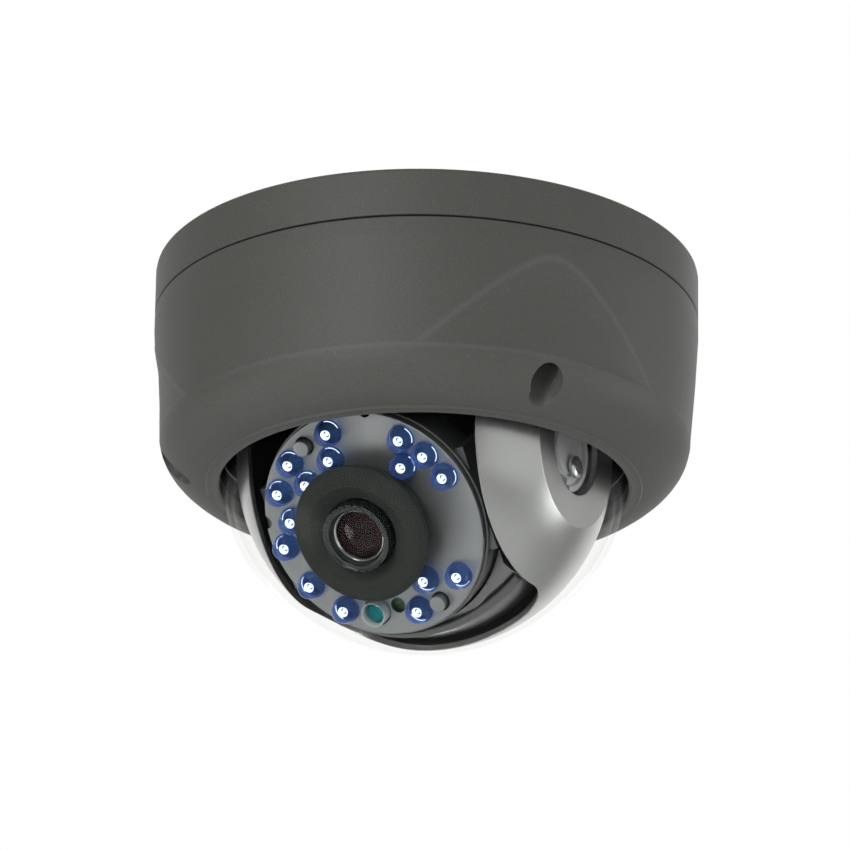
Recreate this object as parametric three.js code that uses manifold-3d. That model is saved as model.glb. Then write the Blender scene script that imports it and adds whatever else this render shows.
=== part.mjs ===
// Ceiling-mounted dome surveillance camera, in millimetres, +Z up.
// The origin is the centre of the face that meets the ceiling; the body hangs down towards -Z.
// The lens looks towards -Y and, at rest, restTilt below the horizon.
import * as THREE from 'three';
import { mergeVertices } from 'three/addons/utils/BufferGeometryUtils.js';
import Module from 'manifold-3d';

const wasm = await Module();
wasm.setup();

// ---- driving dimensions ----------------------------------------------------------------------
const clearance = 0.3;
const screwCount = 3;
const housingClock = -1.2;

const base = { radius: 55.5, height: 10.1, plate: 2.6, spigotOuter: 52.2, spigotInner: 50.2,
  spigotEnd: -13.0, cableHole: 9.0, mountHoleCircle: 47.0, mountHole: 2.25, chamfer: 1.0, edge: 0.3,
  rootHeight: -1.5 };
const oRing = { inner: 53.3, outer: 54.5, top: -9.3, bottom: -10.2, play: 0.15 };
const grommet = { flange: 11.5, neck: 8.7, bore: 3.4, top: -0.3, flangeDepth: 1.0, lipDepth: 1.6 };
const post = { circle: 39.8, radius: 2.8, end: -11.7 };
const board = { pad: 2.2, padCircle: 32.0, radius: 36.5, top: -5.2, thickness: 1.6, hole: 6.5 };
const chip = { from: [-22, -20], to: [-10, -8], drop: 3.2 };
const coil = { from: [12, 10], to: [22, 18], drop: 4.0 };
const partRoot = 1.0;
const bracket = { radius: 43.0, top: -12.0, bottom: -13.7, bore: 7.0, collar: 10.0, collarEnd: -16.6,
  window: 6.5, windowCircle: 26.0 };
const cut = { past: 1.0, deep: 50.0 };
const panClip = { outer: 12.5, top: -16.9, bottom: -18.1 };

const cover = { top: -10.4, rim: -46.9, lip: -46.5, opening: 41.5, wallInner: 52.8, ledge: -43.4, bore: 46.2 };
const coverScrew = { circle: 50.3, boss: 3.4, baseBoss: 2.8, bossTop: -13.4, bossEnd: -44.0, hole: 1.75,
  threadTop: -3.6, counterbore: 2.85, seat: -34.0, shank: 1.45, head: 2.45, headHeight: 2.5, tip: -4.2 };
// The cover's wall, shoulder and rolled lip outside, then its shoulder and wall inside: [radius, height].
const coverWall = [[55.5, -14.0], [54.9, -24.0]];
const coverShoulder = [[53.85, -37.0], [53.45, -39.0], [52.4, -41.1], [50.8, -43.1], [48.6, -44.8],
  [46.2, -45.9]];
const coverLip = [[44.3, -46.3], [43.9, -46.8], [42.0, cover.rim]];
const coverInside = [[cover.bore, -41.2], [49.4, -38.6], [50.8, -34.5], [52.0, -24.0]];
const bubble = { centre: -41.0, outer: 41.4, wall: 1.2, flange: 45.7, flangeBottom: -41.8, flangeTop: -40.0 };
const gasket = { inner: 41.9, outer: 45.9, top: -42.1, bottom: -43.1 };
const clampRing = { inner: 41.2, outer: 45.9, top: -38.2, bottom: -39.7 };

const turntable = { radius: 33.0, skirtInner: 31.6, top: -14.1, bottom: -16.5, skirtEnd: -21.7, bore: 10.3 };
const shroud = { outer: 38.1, inner: 36.8, top: -22.0, slotRight: 26.0, slotLeft: 24.9, slotEnd: 12.0,
  slotCorner: 10.0, ear: 34.5, earWall: 33.2, earRadius: 15.9, pocket: 9.4, lean: 4.4, turn: 3.5 };
const yoke = { inner: 26.0, outer: 28.2, top: -16.8, halfWidth: 9.0, eye: 8.5, footInner: 19.0, foot: 2.0 };
const tiltPin = { radius: 2.2, inner: 21.5, yokeFace: 28.5, head: 4.0, headEnd: 29.4, hole: 2.6 };
const washer = { inner: 24.1, outer: 25.7, radius: 7.0 };
const lockGuide = { radius: 8.8, inner: 31.0, outer: 32.8 };
const lockScrew = { y: 2.1, z: -3.2, shank: 1.5, head: 2.3, inner: 30.5, seat: 33.1, outer: 34.2, hole: 1.9 };

const tiltAxisHeight = -44.2;
const restTilt = 40.3;
const carrier = { radius: 24.4, bore: 23.0, front: 24.0, back: 16.0, floor: 17.8, floorHole: 16.0,
  cheekInner: 22.0, cheekOuter: 23.7, cheekHalf: 11.0, cheekFront: 23.0, roomRadius: 22.2 };
const skirt = { outer: 32.6, inner: 31.3, front: 19.0, back: -5.5, halfWidth: 21.6 };
const sealStrip = { outer: 33.3, inner: 32.9, front: 0.2, back: 2.8 };

const plate = { radius: 23.9, back: 24.3, front: 25.5, bore: 9.4, notch: 1.25 };
const irBoard = { radius: 21.7, back: 22.3, front: 23.9, bore: 9.4 };
const led = { radius: 2.45, hole: 2.62, back: 24.1, tip: 29.6 };
const ledRing = { outer: 20.5, middle: 17.6, inner: 15.4, lower: 19.8 };
const peg = { radius: 1.65, hole: 1.98, circle: 20.6, back: 24.1, tip: 27.3 };
const lightSensor = { circle: 19.1, angle: -162, radius: 2.0, back: 24.1, tip: 26.7,
  holder: 2.65, holderBore: 2.3, holderTip: 27.6, hole: 2.95 };
const microphoneHole = { circle: 17.8, angle: -177, radius: 1.6 };
const foam = { stem: 12.4, outer: 14.4, bore: 9.1, back: 25.8, flange: 30.2, front: 32.9, bevel: 1.1,
  mouth: 10.4, throat: 8.2, throatFront: 31.4, lip: 7.55, lipFront: 31.3, lipBack: 30.4 };
const headFrame = { flange: 21.5, hub: 15.7, neck: 12.6, bore: 9.2, back: 12.8, step: 15.7, seat: 18.1,
  front: 21.9 };
const headClip = { inner: 12.9, outer: 18.0, back: 13.4, front: 15.7 };
const lensMount = { tube: 8.8, bore: 6.6, back: -0.3, flange: 12.6, flangeFront: 1.9, fillet: 1.2,
  front: 26.6 };
const barrel = { radius: 6.3, bore: 4.6, glassBore: 5.5, back: 4.0, seat: 29.4, front: 33.0 };
const retainer = { outer: 7.15, inner: 6.6, lip: 5.9, back: 31.0, lipBack: 33.3, front: 34.0 };
const glass = { radius: 5.2, back: 29.7, edge: 31.2, crown: 32.2, dome: [[3.8, 31.75], [2.0, 32.1]] };
const irFilter = { radius: 4.9, back: 1.4, front: 2.0 };
const sensorBoard = { half: 14.0, back: -2.2, front: -0.6 };
const imageSensor = { half: 3.9, back: -0.3, front: 0.8 };

// Infrared lamps: [circle radius, degrees from the top of the plate, positive towards +X].
const ledPlaces = [
  [ledRing.outer, -7], [ledRing.outer, -40], [ledRing.outer, -60], [ledRing.outer, -93],
  [ledRing.outer, -119], [ledRing.outer, -143], [ledRing.outer, 133], [ledRing.outer, 71],
  [ledRing.outer, 55], [ledRing.outer, 38.5], [ledRing.lower, 169], [ledRing.middle, -77],
  [ledRing.inner, -15], [ledRing.inner, -45], [ledRing.inner, 47], [ledRing.inner, 151],
];
const pegAngles = [-26, 155];
const notchAngles = [16, -79];

// Facets around a full turn.
const facets = { housing: 40, stage: 32, part: 20, round: 14, small: 10, tiny: 8 };

// ---- finishes --------------------------------------------------------------------------------
const finish = (color, roughness, metalness = 0, opacity = 1) => ({ color, roughness, metalness,
  opacity, transparent: opacity < 1 });
const finishes = {
  castPaint: finish(0x4b4a46, 0.62, 0.1),
  castAlloy: finish(0x9b9d9f, 0.45, 0.8),
  clearPlastic: finish(0xf4f6f8, 0.04, 0, 0.25),
  rubber: finish(0x161717, 0.85),
  shroudPaint: finish(0x6c6e6d, 0.38, 0.3),
  carrierPaint: finish(0x45494b, 0.42, 0.2),
  glossBlack: finish(0x1a1b1c, 0.18),
  steel: finish(0xb8babc, 0.28, 1),
  circuitBoard: finish(0x1d4a2c, 0.55),
  blackPlastic: finish(0x1c1d1e, 0.5),
  foam: finish(0x222623, 0.95),
  ledBlue: finish(0x4a66c8, 0.08, 0, 0.8),
  ringSilver: finish(0x8c9090, 0.3, 0.8),
  lensGlass: finish(0x2a1014, 0.03),
  tealGlass: finish(0x3fa8ad, 0.08),
  sensorSilicon: finish(0x3a3550, 0.2),
};

// ---- small geometry kit ----------------------------------------------------------------------
const radians = THREE.MathUtils.degToRad;

/** A closed mesh with merged vertices, no slivers and its faces pointing out. */
function closed(source) {
  const bare = source.clone();
  bare.deleteAttribute('normal');
  bare.deleteAttribute('uv');
  const merged = mergeVertices(bare, 1e-4);
  const positions = merged.getAttribute('position');
  const corner = (i) => new THREE.Vector3().fromBufferAttribute(positions, i);
  const kept = [];
  let volume = 0;
  for (let i = 0; i < merged.index.count; i += 3) {
    const [a, b, c] = [0, 1, 2].map((k) => merged.index.getX(i + k));
    if (a !== b && b !== c && c !== a) {
      kept.push(a, b, c);
      volume += corner(a).dot(corner(b).cross(corner(c)));
    }
  }
  if (volume < 0) {
    kept.reverse();
  }
  merged.setIndex(kept);
  return merged;
}

/** The boolean solid of a closed geometry. */
function solid(source) {
  const geometry = closed(source);
  const vertProperties = new Float32Array(geometry.getAttribute('position').array);
  const triVerts = new Uint32Array(geometry.index.array);
  return new wasm.Manifold(new wasm.Mesh({ numProp: 3, vertProperties, triVerts }));
}

/** The buffer geometry of a boolean solid. */
function geometryOf(body) {
  const mesh = body.getMesh();
  const geometry = new THREE.BufferGeometry();
  geometry.setAttribute('position', new THREE.BufferAttribute(mesh.vertProperties, 3));
  geometry.setIndex(new THREE.BufferAttribute(mesh.triVerts, 1));
  return geometry;
}

/** A body turned about Z from a profile of [radius, height] points. */
function turned(profile, segments) {
  const points = profile.map(([r, z]) => new THREE.Vector2(r, z));
  return new THREE.LatheGeometry(points, segments).rotateX(Math.PI / 2);
}

/** A turned ring of rectangular section. */
function ring(inner, outer, low, high, segments) {
  return turned([[inner, low], [outer, low], [outer, high], [inner, high], [inner, low]], segments);
}

/** A turned disc or rod between two heights. */
function rod(radius, low, high, segments) {
  return turned([[0, low], [radius, low], [radius, high], [0, high]], segments);
}

/** A boolean rod parallel to Z that stands at a point. */
function rodAt(at, radius, low, high, segments) {
  return solid(rod(radius, low, high, segments).translate(at.x, at.y, 0));
}

/** A box between two opposite corners. */
function block([x0, y0, z0], [x1, y1, z1]) {
  const box = new THREE.BoxGeometry(x1 - x0, y1 - y0, z1 - z0);
  return box.translate((x0 + x1) / 2, (y0 + y1) / 2, (z0 + z1) / 2);
}

/** Points of an arc of a sphere's section, between two heights above its centre. */
function sphereArc(radius, centre, from, to, steps) {
  const start = Math.asin(from / radius);
  const end = Math.asin(to / radius);
  return Array.from({ length: steps + 1 }, (_, i) => {
    const angle = start + (end - start) * (i / steps);
    return [Math.max(0, radius * Math.cos(angle)), centre + radius * Math.sin(angle)];
  });
}

/** A point on a circle; the angle runs from -Y towards +X, as on the housing seen from above. */
function onCircle(radius, angle, z = 0) {
  return new THREE.Vector3(radius * Math.sin(radians(angle)), -radius * Math.cos(radians(angle)), z);
}

/** A point on the front plate; the angle runs from the plate's top (+Y) towards +X. */
function onPlate(radius, angle) {
  return new THREE.Vector2(radius * Math.sin(radians(angle)), radius * Math.cos(radians(angle)));
}

/** Screw axis angles around the housing. */
function housingAngles(offset) {
  return Array.from({ length: screwCount }, (_, i) => housingClock + offset + i * (360 / screwCount));
}

/** Turns a body made along Z so that it lies along X, its height becoming X. */
function alongX(geometry) {
  return geometry.rotateY(Math.PI / 2);
}

/** A named mesh in its own finish. */
function piece(name, geometry, look, parent) {
  const mesh = new THREE.Mesh(closed(geometry), new THREE.MeshStandardMaterial(look));
  mesh.geometry.computeVertexNormals();
  mesh.name = name;
  parent.add(mesh);
  return mesh;
}

// ---- base: stays on the ceiling --------------------------------------------------------------
function addBase(parent) {
  const grooveOuter = oRing.outer + oRing.play;
  const grooveInner = oRing.inner - oRing.play;
  const grooveFloor = oRing.top + oRing.play;
  const profile = [[base.cableHole, 0], [base.radius - base.chamfer, 0], [base.radius - base.edge, -base.edge],
    [base.radius, -base.chamfer], [base.radius, -base.height], [grooveOuter, -base.height],
    [grooveOuter, grooveFloor], [grooveInner, grooveFloor], [grooveInner, -base.height],
    [base.spigotOuter, -base.height], [base.spigotOuter, base.spigotEnd], [base.spigotInner, base.spigotEnd],
    [base.spigotInner, -base.plate], [base.cableHole, -base.plate], [base.cableHole, 0]];
  let casting = solid(turned(profile, facets.housing));
  const root = base.rootHeight;
  for (const angle of housingAngles(60)) {
    const at = onCircle(coverScrew.circle, angle);
    casting = casting.add(rodAt(at, coverScrew.baseBoss, -base.height, root, facets.small));
    const threadEnd = base.spigotEnd - cut.past;
    casting = casting.subtract(rodAt(at, coverScrew.hole, threadEnd, coverScrew.threadTop, facets.tiny));
  }
  for (const angle of housingAngles(30)) {
    casting = casting.add(rodAt(onCircle(post.circle, angle), post.radius, post.end, root, facets.small));
  }
  for (const angle of housingAngles(0)) {
    const at = onCircle(base.mountHoleCircle, angle);
    casting = casting.subtract(rodAt(at, base.mountHole, -base.plate - cut.past, cut.past, facets.small));
  }
  for (const angle of housingAngles(90)) {
    const at = onCircle(board.padCircle, angle);
    casting = casting.add(rodAt(at, board.pad, board.top + clearance, root, facets.tiny));
  }
  piece('mounting_base', geometryOf(casting), finishes.castPaint, parent);

  const seal = ring(oRing.inner, oRing.outer, oRing.bottom, oRing.top, facets.housing);
  piece('cover_o_ring', seal, finishes.rubber, parent);

  const lip = -base.plate - clearance;
  piece('cable_grommet', turned([[grommet.bore, grommet.top], [grommet.neck, grommet.top], [grommet.neck, lip],
    [grommet.flange, lip], [grommet.flange, lip - grommet.flangeDepth], [grommet.bore, lip - grommet.lipDepth],
    [grommet.bore, grommet.top]], facets.round), finishes.rubber, parent);

  let circuit = solid(ring(board.hole, board.radius, board.top - board.thickness, board.top, facets.part));
  for (const { from, to, drop } of [chip, coil]) {
    circuit = circuit.add(solid(block([...from, board.top - drop], [...to, board.top - partRoot])));
  }
  piece('main_board', geometryOf(circuit), finishes.circuitBoard, parent);

  let plateBody = solid(turned([[bracket.bore, bracket.top], [bracket.radius, bracket.top],
    [bracket.radius, bracket.bottom], [bracket.collar, bracket.bottom], [bracket.collar, bracket.collarEnd],
    [bracket.bore, bracket.collarEnd], [bracket.bore, bracket.top]], facets.stage));
  for (const angle of housingAngles(90)) {
    const at = onCircle(bracket.windowCircle, angle);
    plateBody = plateBody.subtract(
      rodAt(at, bracket.window, bracket.bottom - cut.past, bracket.top + cut.past, facets.small));
  }
  piece('gimbal_bracket', geometryOf(plateBody), finishes.castAlloy, parent);
  piece('pan_retaining_ring', ring(bracket.bore, panClip.outer, panClip.bottom, panClip.top, facets.part),
    finishes.steel, parent);
}

// ---- cover: lifts off downwards --------------------------------------------------------------
function addCover(parent) {
  const outside = [[base.radius, cover.top], ...coverWall, ...coverShoulder, ...coverLip,
    [cover.opening, cover.lip]];
  const inside = [[cover.opening, cover.ledge], [cover.bore, cover.ledge], ...coverInside,
    [cover.wallInner, coverScrew.bossTop], [cover.wallInner, cover.top]];
  let shell = solid(turned([...outside, ...inside, outside[0]], facets.housing));
  const filled = solid(turned([[0, cover.top], ...outside, [0, cover.lip]], facets.housing));
  for (const angle of housingAngles(60)) {
    const at = onCircle(coverScrew.circle, angle);
    const boss = rodAt(at, coverScrew.boss, coverScrew.bossEnd, coverScrew.bossTop, facets.small);
    const shank = rodAt(at, coverScrew.hole, coverScrew.seat - cut.past, cover.top, facets.tiny);
    const counterbore = rodAt(at, coverScrew.counterbore, cover.rim - cut.past, coverScrew.seat, facets.small);
    shell = shell.add(boss.intersect(filled)).subtract(shank).subtract(counterbore);
  }
  piece('dome_cover', geometryOf(shell), finishes.castPaint, parent);

  const inner = bubble.outer - bubble.wall;
  const shoulder = bubble.flangeBottom - bubble.centre;
  piece('dome_bubble', turned([...sphereArc(bubble.outer, bubble.centre, -bubble.outer, shoulder, 9),
    [bubble.flange, bubble.flangeBottom], [bubble.flange, bubble.flangeTop], [inner, bubble.flangeTop],
    ...sphereArc(inner, bubble.centre, 0, -inner, 9)], facets.housing), finishes.clearPlastic, parent);
  const seal = ring(gasket.inner, gasket.outer, gasket.bottom, gasket.top, facets.stage);
  piece('bubble_gasket', seal, finishes.rubber, parent);
  const clamp = ring(clampRing.inner, clampRing.outer, clampRing.bottom, clampRing.top, facets.stage);
  piece('bubble_clamp_ring', clamp, finishes.steel, parent);

  housingAngles(60).forEach((angle, i) => {
    const headTop = coverScrew.seat - clearance;
    const headEnd = headTop - coverScrew.headHeight;
    const screw = turned([[0, headEnd], [coverScrew.head, headEnd], [coverScrew.head, headTop],
      [coverScrew.shank, headTop], [coverScrew.shank, coverScrew.tip], [0, coverScrew.tip]], facets.tiny);
    const at = onCircle(coverScrew.circle, angle);
    piece(`cover_screw_${i + 1}`, screw, finishes.steel, parent).position.copy(at);
  });
}

// ---- pan stage: turns about Z ----------------------------------------------------------------
/** The shroud's sphere with the eyeball's slot, in the shroud's own turned and leaning frame. */
function shroudGeometry() {
  const shellArc = (radius, from, to) => sphereArc(radius, 0, from, to, 12);
  const body = turned(shellArc(shroud.outer, -shroud.outer, shroud.outer), facets.stage);
  const hollow = turned(shellArc(shroud.inner, -shroud.inner, shroud.inner), facets.stage);
  let shell = solid(body).subtract(solid(hollow));
  const slot = new THREE.Shape();
  slot.moveTo(-shroud.slotLeft, -cut.deep);
  slot.lineTo(shroud.slotRight, -cut.deep);
  slot.lineTo(shroud.slotRight, shroud.slotEnd - shroud.slotCorner);
  slot.absarc(shroud.slotRight - shroud.slotCorner, shroud.slotEnd - shroud.slotCorner,
    shroud.slotCorner, 0, Math.PI / 2, false);
  slot.absarc(-shroud.slotLeft + shroud.slotCorner, shroud.slotEnd - shroud.slotCorner,
    shroud.slotCorner, Math.PI / 2, Math.PI, false);
  slot.closePath();
  const through = { depth: 2 * cut.deep, bevelEnabled: false, curveSegments: 4 };
  const cutter = new THREE.ExtrudeGeometry(slot, through);
  shell = shell.subtract(solid(cutter.translate(0, 0, -cut.deep)));
  for (const side of [-1, 1]) {
    const [near, far] = [side * shroud.ear, side * cut.deep].sort((a, b) => a - b);
    const slab = block([near, -shroud.outer, -shroud.outer], [far, shroud.outer, shroud.outer]);
    shell = shell.subtract(solid(slab));
    const wall = [side * shroud.earWall, side * shroud.ear].sort((a, b) => a - b);
    shell = shell.add(solid(alongX(rod(shroud.earRadius, wall[0], wall[1], facets.part))));
  }
  return shell.subtract(solid(alongX(rod(shroud.pocket, lockGuide.inner - cut.past, cut.deep, facets.part))));
}

function addPanStage(parent) {
  piece('pan_turntable', turned([[turntable.bore, turntable.top], [turntable.radius, turntable.top],
    [turntable.radius, turntable.skirtEnd], [turntable.skirtInner, turntable.skirtEnd],
    [turntable.skirtInner, turntable.bottom], [turntable.bore, turntable.bottom],
    [turntable.bore, turntable.top]], facets.stage), finishes.blackPlastic, parent);

  const placed = new THREE.Matrix4().makeTranslation(0, 0, bubble.centre)
    .multiply(new THREE.Matrix4().makeRotationZ(radians(shroud.turn)))
    .multiply(new THREE.Matrix4().makeRotationY(radians(shroud.lean)));
  const above = solid(block([-cut.deep, -cut.deep, shroud.top], [cut.deep, cut.deep, base.radius]));
  const shell = solid(geometryOf(shroudGeometry()).applyMatrix4(placed)).subtract(above);
  piece('gimbal_shroud', geometryOf(shell), finishes.shroudPaint, parent);

  const lock = new THREE.Group();
  lock.applyMatrix4(placed);
  parent.add(lock);
  const screwHole = solid(alongX(rod(lockScrew.hole, lockScrew.inner - cut.past, cut.deep, facets.tiny))
    .translate(0, lockScrew.y, lockScrew.z));
  const guide = solid(alongX(rod(lockGuide.radius, lockGuide.inner, lockGuide.outer, facets.part)));
  piece('tilt_lock_guide', geometryOf(guide.subtract(screwHole)), finishes.clearPlastic, lock);
  piece('tilt_lock_screw', alongX(turned([[0, lockScrew.inner], [lockScrew.shank, lockScrew.inner],
    [lockScrew.shank, lockScrew.seat], [lockScrew.head, lockScrew.seat], [lockScrew.head, lockScrew.outer],
    [0, lockScrew.outer]], facets.tiny)), finishes.steel, lock).position.set(0, lockScrew.y, lockScrew.z);

  for (const [side, word] of [[-1, 'left'], [1, 'right']]) {
    addYoke(side, word, parent);
  }
}

/** One arm of the yoke with its tilt pin and friction washer. */
function addYoke(side, word, parent) {
  const stage = new THREE.Group();
  stage.position.z = tiltAxisHeight;
  parent.add(stage);
  const top = yoke.top - tiltAxisHeight;
  const span = (a, b) => [side * a, side * b].sort((p, q) => p - q);

  const outline = new THREE.Shape();
  outline.moveTo(-yoke.halfWidth, top);
  outline.lineTo(-yoke.eye, 0);
  outline.absarc(0, 0, yoke.eye, Math.PI, 2 * Math.PI, false);
  outline.lineTo(yoke.halfWidth, top);
  outline.closePath();
  const bore = new THREE.Path();
  bore.absarc(0, 0, tiltPin.hole, 0, 2 * Math.PI, true);
  outline.holes.push(bore);
  const depth = yoke.outer - yoke.inner;
  const arm = new THREE.ExtrudeGeometry(outline, { depth, bevelEnabled: false, curveSegments: 6 });
  arm.rotateX(Math.PI / 2).rotateZ(Math.PI / 2).translate(span(yoke.inner, yoke.outer)[0], 0, 0);
  const [footLow, footHigh] = span(yoke.footInner, yoke.outer);
  const foot = block([footLow, -yoke.halfWidth, top - yoke.foot], [footHigh, yoke.halfWidth, top]);
  piece(`yoke_${word}`, geometryOf(solid(arm).add(solid(foot))), finishes.castAlloy, stage);

  const pin = turned([[0, tiltPin.inner], [tiltPin.radius, tiltPin.inner], [tiltPin.radius, tiltPin.yokeFace],
    [tiltPin.head, tiltPin.yokeFace], [tiltPin.head, tiltPin.headEnd], [0, tiltPin.headEnd]], facets.small);
  piece(`tilt_pin_${word}`, pin.rotateY(side * Math.PI / 2), finishes.steel, stage);
  const disc = ring(tiltPin.hole, washer.radius, washer.inner, washer.outer, facets.round);
  piece(`friction_washer_${word}`, disc.rotateY(side * Math.PI / 2), finishes.blackPlastic, stage);
}

// ---- tilt stage: turns about X ---------------------------------------------------------------
// Everything from here on is made along Z as the optical axis, with Y up the plate,
// and the two nested groups then turn it to look out and down.
function addTiltStage(parent) {
  let cup = solid(turned([[carrier.bore, carrier.front], [carrier.radius, carrier.front],
    [carrier.radius, carrier.back], [carrier.floorHole, carrier.back], [carrier.floorHole, carrier.floor],
    [carrier.bore, carrier.floor], [carrier.bore, carrier.front]], facets.stage));
  const cheek = new THREE.Shape();
  cheek.moveTo(carrier.cheekFront, -carrier.cheekHalf);
  cheek.lineTo(carrier.cheekFront, carrier.cheekHalf);
  cheek.lineTo(0, carrier.cheekHalf);
  cheek.absarc(0, 0, carrier.cheekHalf, Math.PI / 2, 1.5 * Math.PI, false);
  cheek.closePath();
  const bore = new THREE.Path();
  bore.absarc(0, 0, tiltPin.hole, 0, 2 * Math.PI, true);
  cheek.holes.push(bore);
  for (const low of [carrier.cheekInner, -carrier.cheekOuter]) {
    const side = new THREE.ExtrudeGeometry(cheek, { depth: carrier.cheekOuter - carrier.cheekInner,
      bevelEnabled: false, curveSegments: 6 });
    side.rotateY(-Math.PI / 2).translate(low + carrier.cheekOuter - carrier.cheekInner, 0, 0);
    cup = cup.add(solid(side));
  }
  const cavity = solid(rod(carrier.roomRadius, carrier.floor, carrier.front + cut.past, facets.stage));
  piece('camera_carrier', geometryOf(cup.subtract(cavity)), finishes.carrierPaint, parent);

  const band = solid(turned([...sphereArc(skirt.outer, 0, skirt.back, skirt.front, 4),
    ...sphereArc(skirt.inner, 0, skirt.front, skirt.back, 4),
    [Math.sqrt(skirt.outer ** 2 - skirt.back ** 2), skirt.back]], facets.housing));
  const below = solid(block([-skirt.halfWidth, -cut.deep, -cut.deep], [skirt.halfWidth, 0, cut.deep]));
  piece('carrier_skirt', geometryOf(band.intersect(below)), finishes.glossBlack, parent);

  const hoop = solid(ring(sealStrip.inner, sealStrip.outer, -sealStrip.back, -sealStrip.front, facets.housing)
    .rotateX(radians(90 - restTilt)));
  piece('light_seal_strip', geometryOf(hoop.intersect(below)), finishes.shroudPaint, parent);
}

// ---- camera head: turns about the optical axis -----------------------------------------------
/** Corner points of a round outline or hole in the front plate. */
function circlePoints(centre, radius, count) {
  return Array.from({ length: count }, (_, i) => {
    const angle = (2 * Math.PI * i) / count;
    return new THREE.Vector2(centre.x + radius * Math.cos(angle), centre.y + radius * Math.sin(angle));
  });
}

function addHead(parent) {
  const middle = new THREE.Vector2();
  const face = new THREE.Shape(circlePoints(middle, plate.radius, facets.housing));
  const hole = (at, radius, count) => face.holes.push(new THREE.Path(circlePoints(at, radius, count)));
  hole(middle, plate.bore, facets.part);
  ledPlaces.forEach(([radius, angle]) => hole(onPlate(radius, angle), led.hole, facets.tiny));
  pegAngles.forEach((angle) => hole(onPlate(peg.circle, angle), peg.hole, facets.tiny));
  hole(onPlate(lightSensor.circle, lightSensor.angle), lightSensor.hole, facets.small);
  hole(onPlate(microphoneHole.circle, microphoneHole.angle), microphoneHole.radius, facets.tiny);
  const disc = new THREE.ExtrudeGeometry(face, { depth: plate.front - plate.back, bevelEnabled: false });
  let facePlate = solid(disc.translate(0, 0, plate.back));
  for (const angle of notchAngles) {
    const at = onPlate(plate.radius, angle);
    facePlate = facePlate.subtract(
      rodAt(at, plate.notch, plate.back - cut.past, plate.front + cut.past, facets.small));
  }
  piece('front_plate', geometryOf(facePlate), finishes.shroudPaint, parent);
  piece('ir_board', ring(irBoard.bore, irBoard.radius, irBoard.back, irBoard.front, facets.part),
    finishes.circuitBoard, parent);

  const dome = sphereArc(led.radius, led.tip - led.radius, 0, led.radius, 2);
  ledPlaces.forEach(([radius, angle], i) => {
    const at = onPlate(radius, angle);
    const lamp = turned([[0, led.back], [led.radius, led.back], ...dome], facets.tiny);
    const name = `ir_led_${String(i + 1).padStart(2, '0')}`;
    piece(name, lamp, finishes.ledBlue, parent).position.set(at.x, at.y, 0);
  });
  pegAngles.forEach((angle, i) => {
    const at = onPlate(peg.circle, angle);
    const pin = rod(peg.radius, peg.back, peg.tip, facets.tiny);
    piece(`plate_peg_${i + 1}`, pin, finishes.shroudPaint, parent).position.set(at.x, at.y, 0);
  });
  const eye = onPlate(lightSensor.circle, lightSensor.angle);
  const window = rod(lightSensor.radius, lightSensor.back, lightSensor.tip, facets.tiny);
  piece('light_sensor', window, finishes.tealGlass, parent).position.set(eye.x, eye.y, 0);
  const sleeve = ring(lightSensor.holderBore, lightSensor.holder, lightSensor.back, lightSensor.holderTip,
    facets.small);
  piece('light_sensor_holder', sleeve, finishes.clearPlastic, parent).position.set(eye.x, eye.y, 0);

  piece('foam_ring', turned([[foam.bore, foam.back], [foam.stem, foam.back], [foam.stem, foam.flange],
    [foam.outer, foam.flange], [foam.outer, foam.front - foam.bevel], [foam.outer - foam.bevel, foam.front],
    [foam.mouth, foam.front], [foam.throat, foam.throatFront], [foam.lip, foam.lipFront],
    [foam.lip, foam.lipBack], [foam.bore, foam.lipBack], [foam.bore, foam.back]], facets.part),
  finishes.foam, parent);

  piece('head_frame', turned([[headFrame.bore, headFrame.back], [headFrame.neck, headFrame.back],
    [headFrame.neck, headFrame.step], [headFrame.hub, headFrame.step], [headFrame.hub, headFrame.seat],
    [headFrame.flange, headFrame.seat], [headFrame.flange, headFrame.front], [headFrame.bore, headFrame.front],
    [headFrame.bore, headFrame.back]], facets.part), finishes.blackPlastic, parent);
  const clip = ring(headClip.inner, headClip.outer, headClip.back, headClip.front - clearance, facets.part);
  piece('head_retaining_ring', clip, finishes.steel, parent);

  piece('lens_mount', turned([[lensMount.bore, lensMount.back], [lensMount.flange, lensMount.back],
    [lensMount.flange, lensMount.flangeFront], [lensMount.tube, lensMount.flangeFront + lensMount.fillet],
    [lensMount.tube, lensMount.front], [lensMount.bore, lensMount.front], [lensMount.bore, lensMount.back]],
  facets.part), finishes.blackPlastic, parent);
  piece('lens_barrel', turned([[barrel.bore, barrel.back], [barrel.radius, barrel.back],
    [barrel.radius, barrel.front], [barrel.glassBore, barrel.front], [barrel.glassBore, barrel.seat],
    [barrel.bore, barrel.seat], [barrel.bore, barrel.back]], facets.part), finishes.blackPlastic, parent);
  piece('lens_retainer', turned([[retainer.inner, retainer.back], [retainer.outer, retainer.back],
    [retainer.outer, retainer.front], [retainer.lip, retainer.front], [retainer.lip, retainer.lipBack],
    [retainer.inner, retainer.lipBack], [retainer.inner, retainer.back]], facets.part),
  finishes.ringSilver, parent);
  piece('lens_glass', turned([[0, glass.back], [glass.radius, glass.back], [glass.radius, glass.edge],
    ...glass.dome, [0, glass.crown]], facets.round), finishes.lensGlass, parent);
  const filter = rod(irFilter.radius, irFilter.back, irFilter.front, facets.small);
  piece('ir_filter', filter, finishes.tealGlass, parent);
  piece('sensor_board', block([-sensorBoard.half, -sensorBoard.half, sensorBoard.back],
    [sensorBoard.half, sensorBoard.half, sensorBoard.front]), finishes.circuitBoard, parent);
  piece('image_sensor', block([-imageSensor.half, -imageSensor.half, imageSensor.back],
    [imageSensor.half, imageSensor.half, imageSensor.front]), finishes.sensorSilicon, parent);
}

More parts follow.
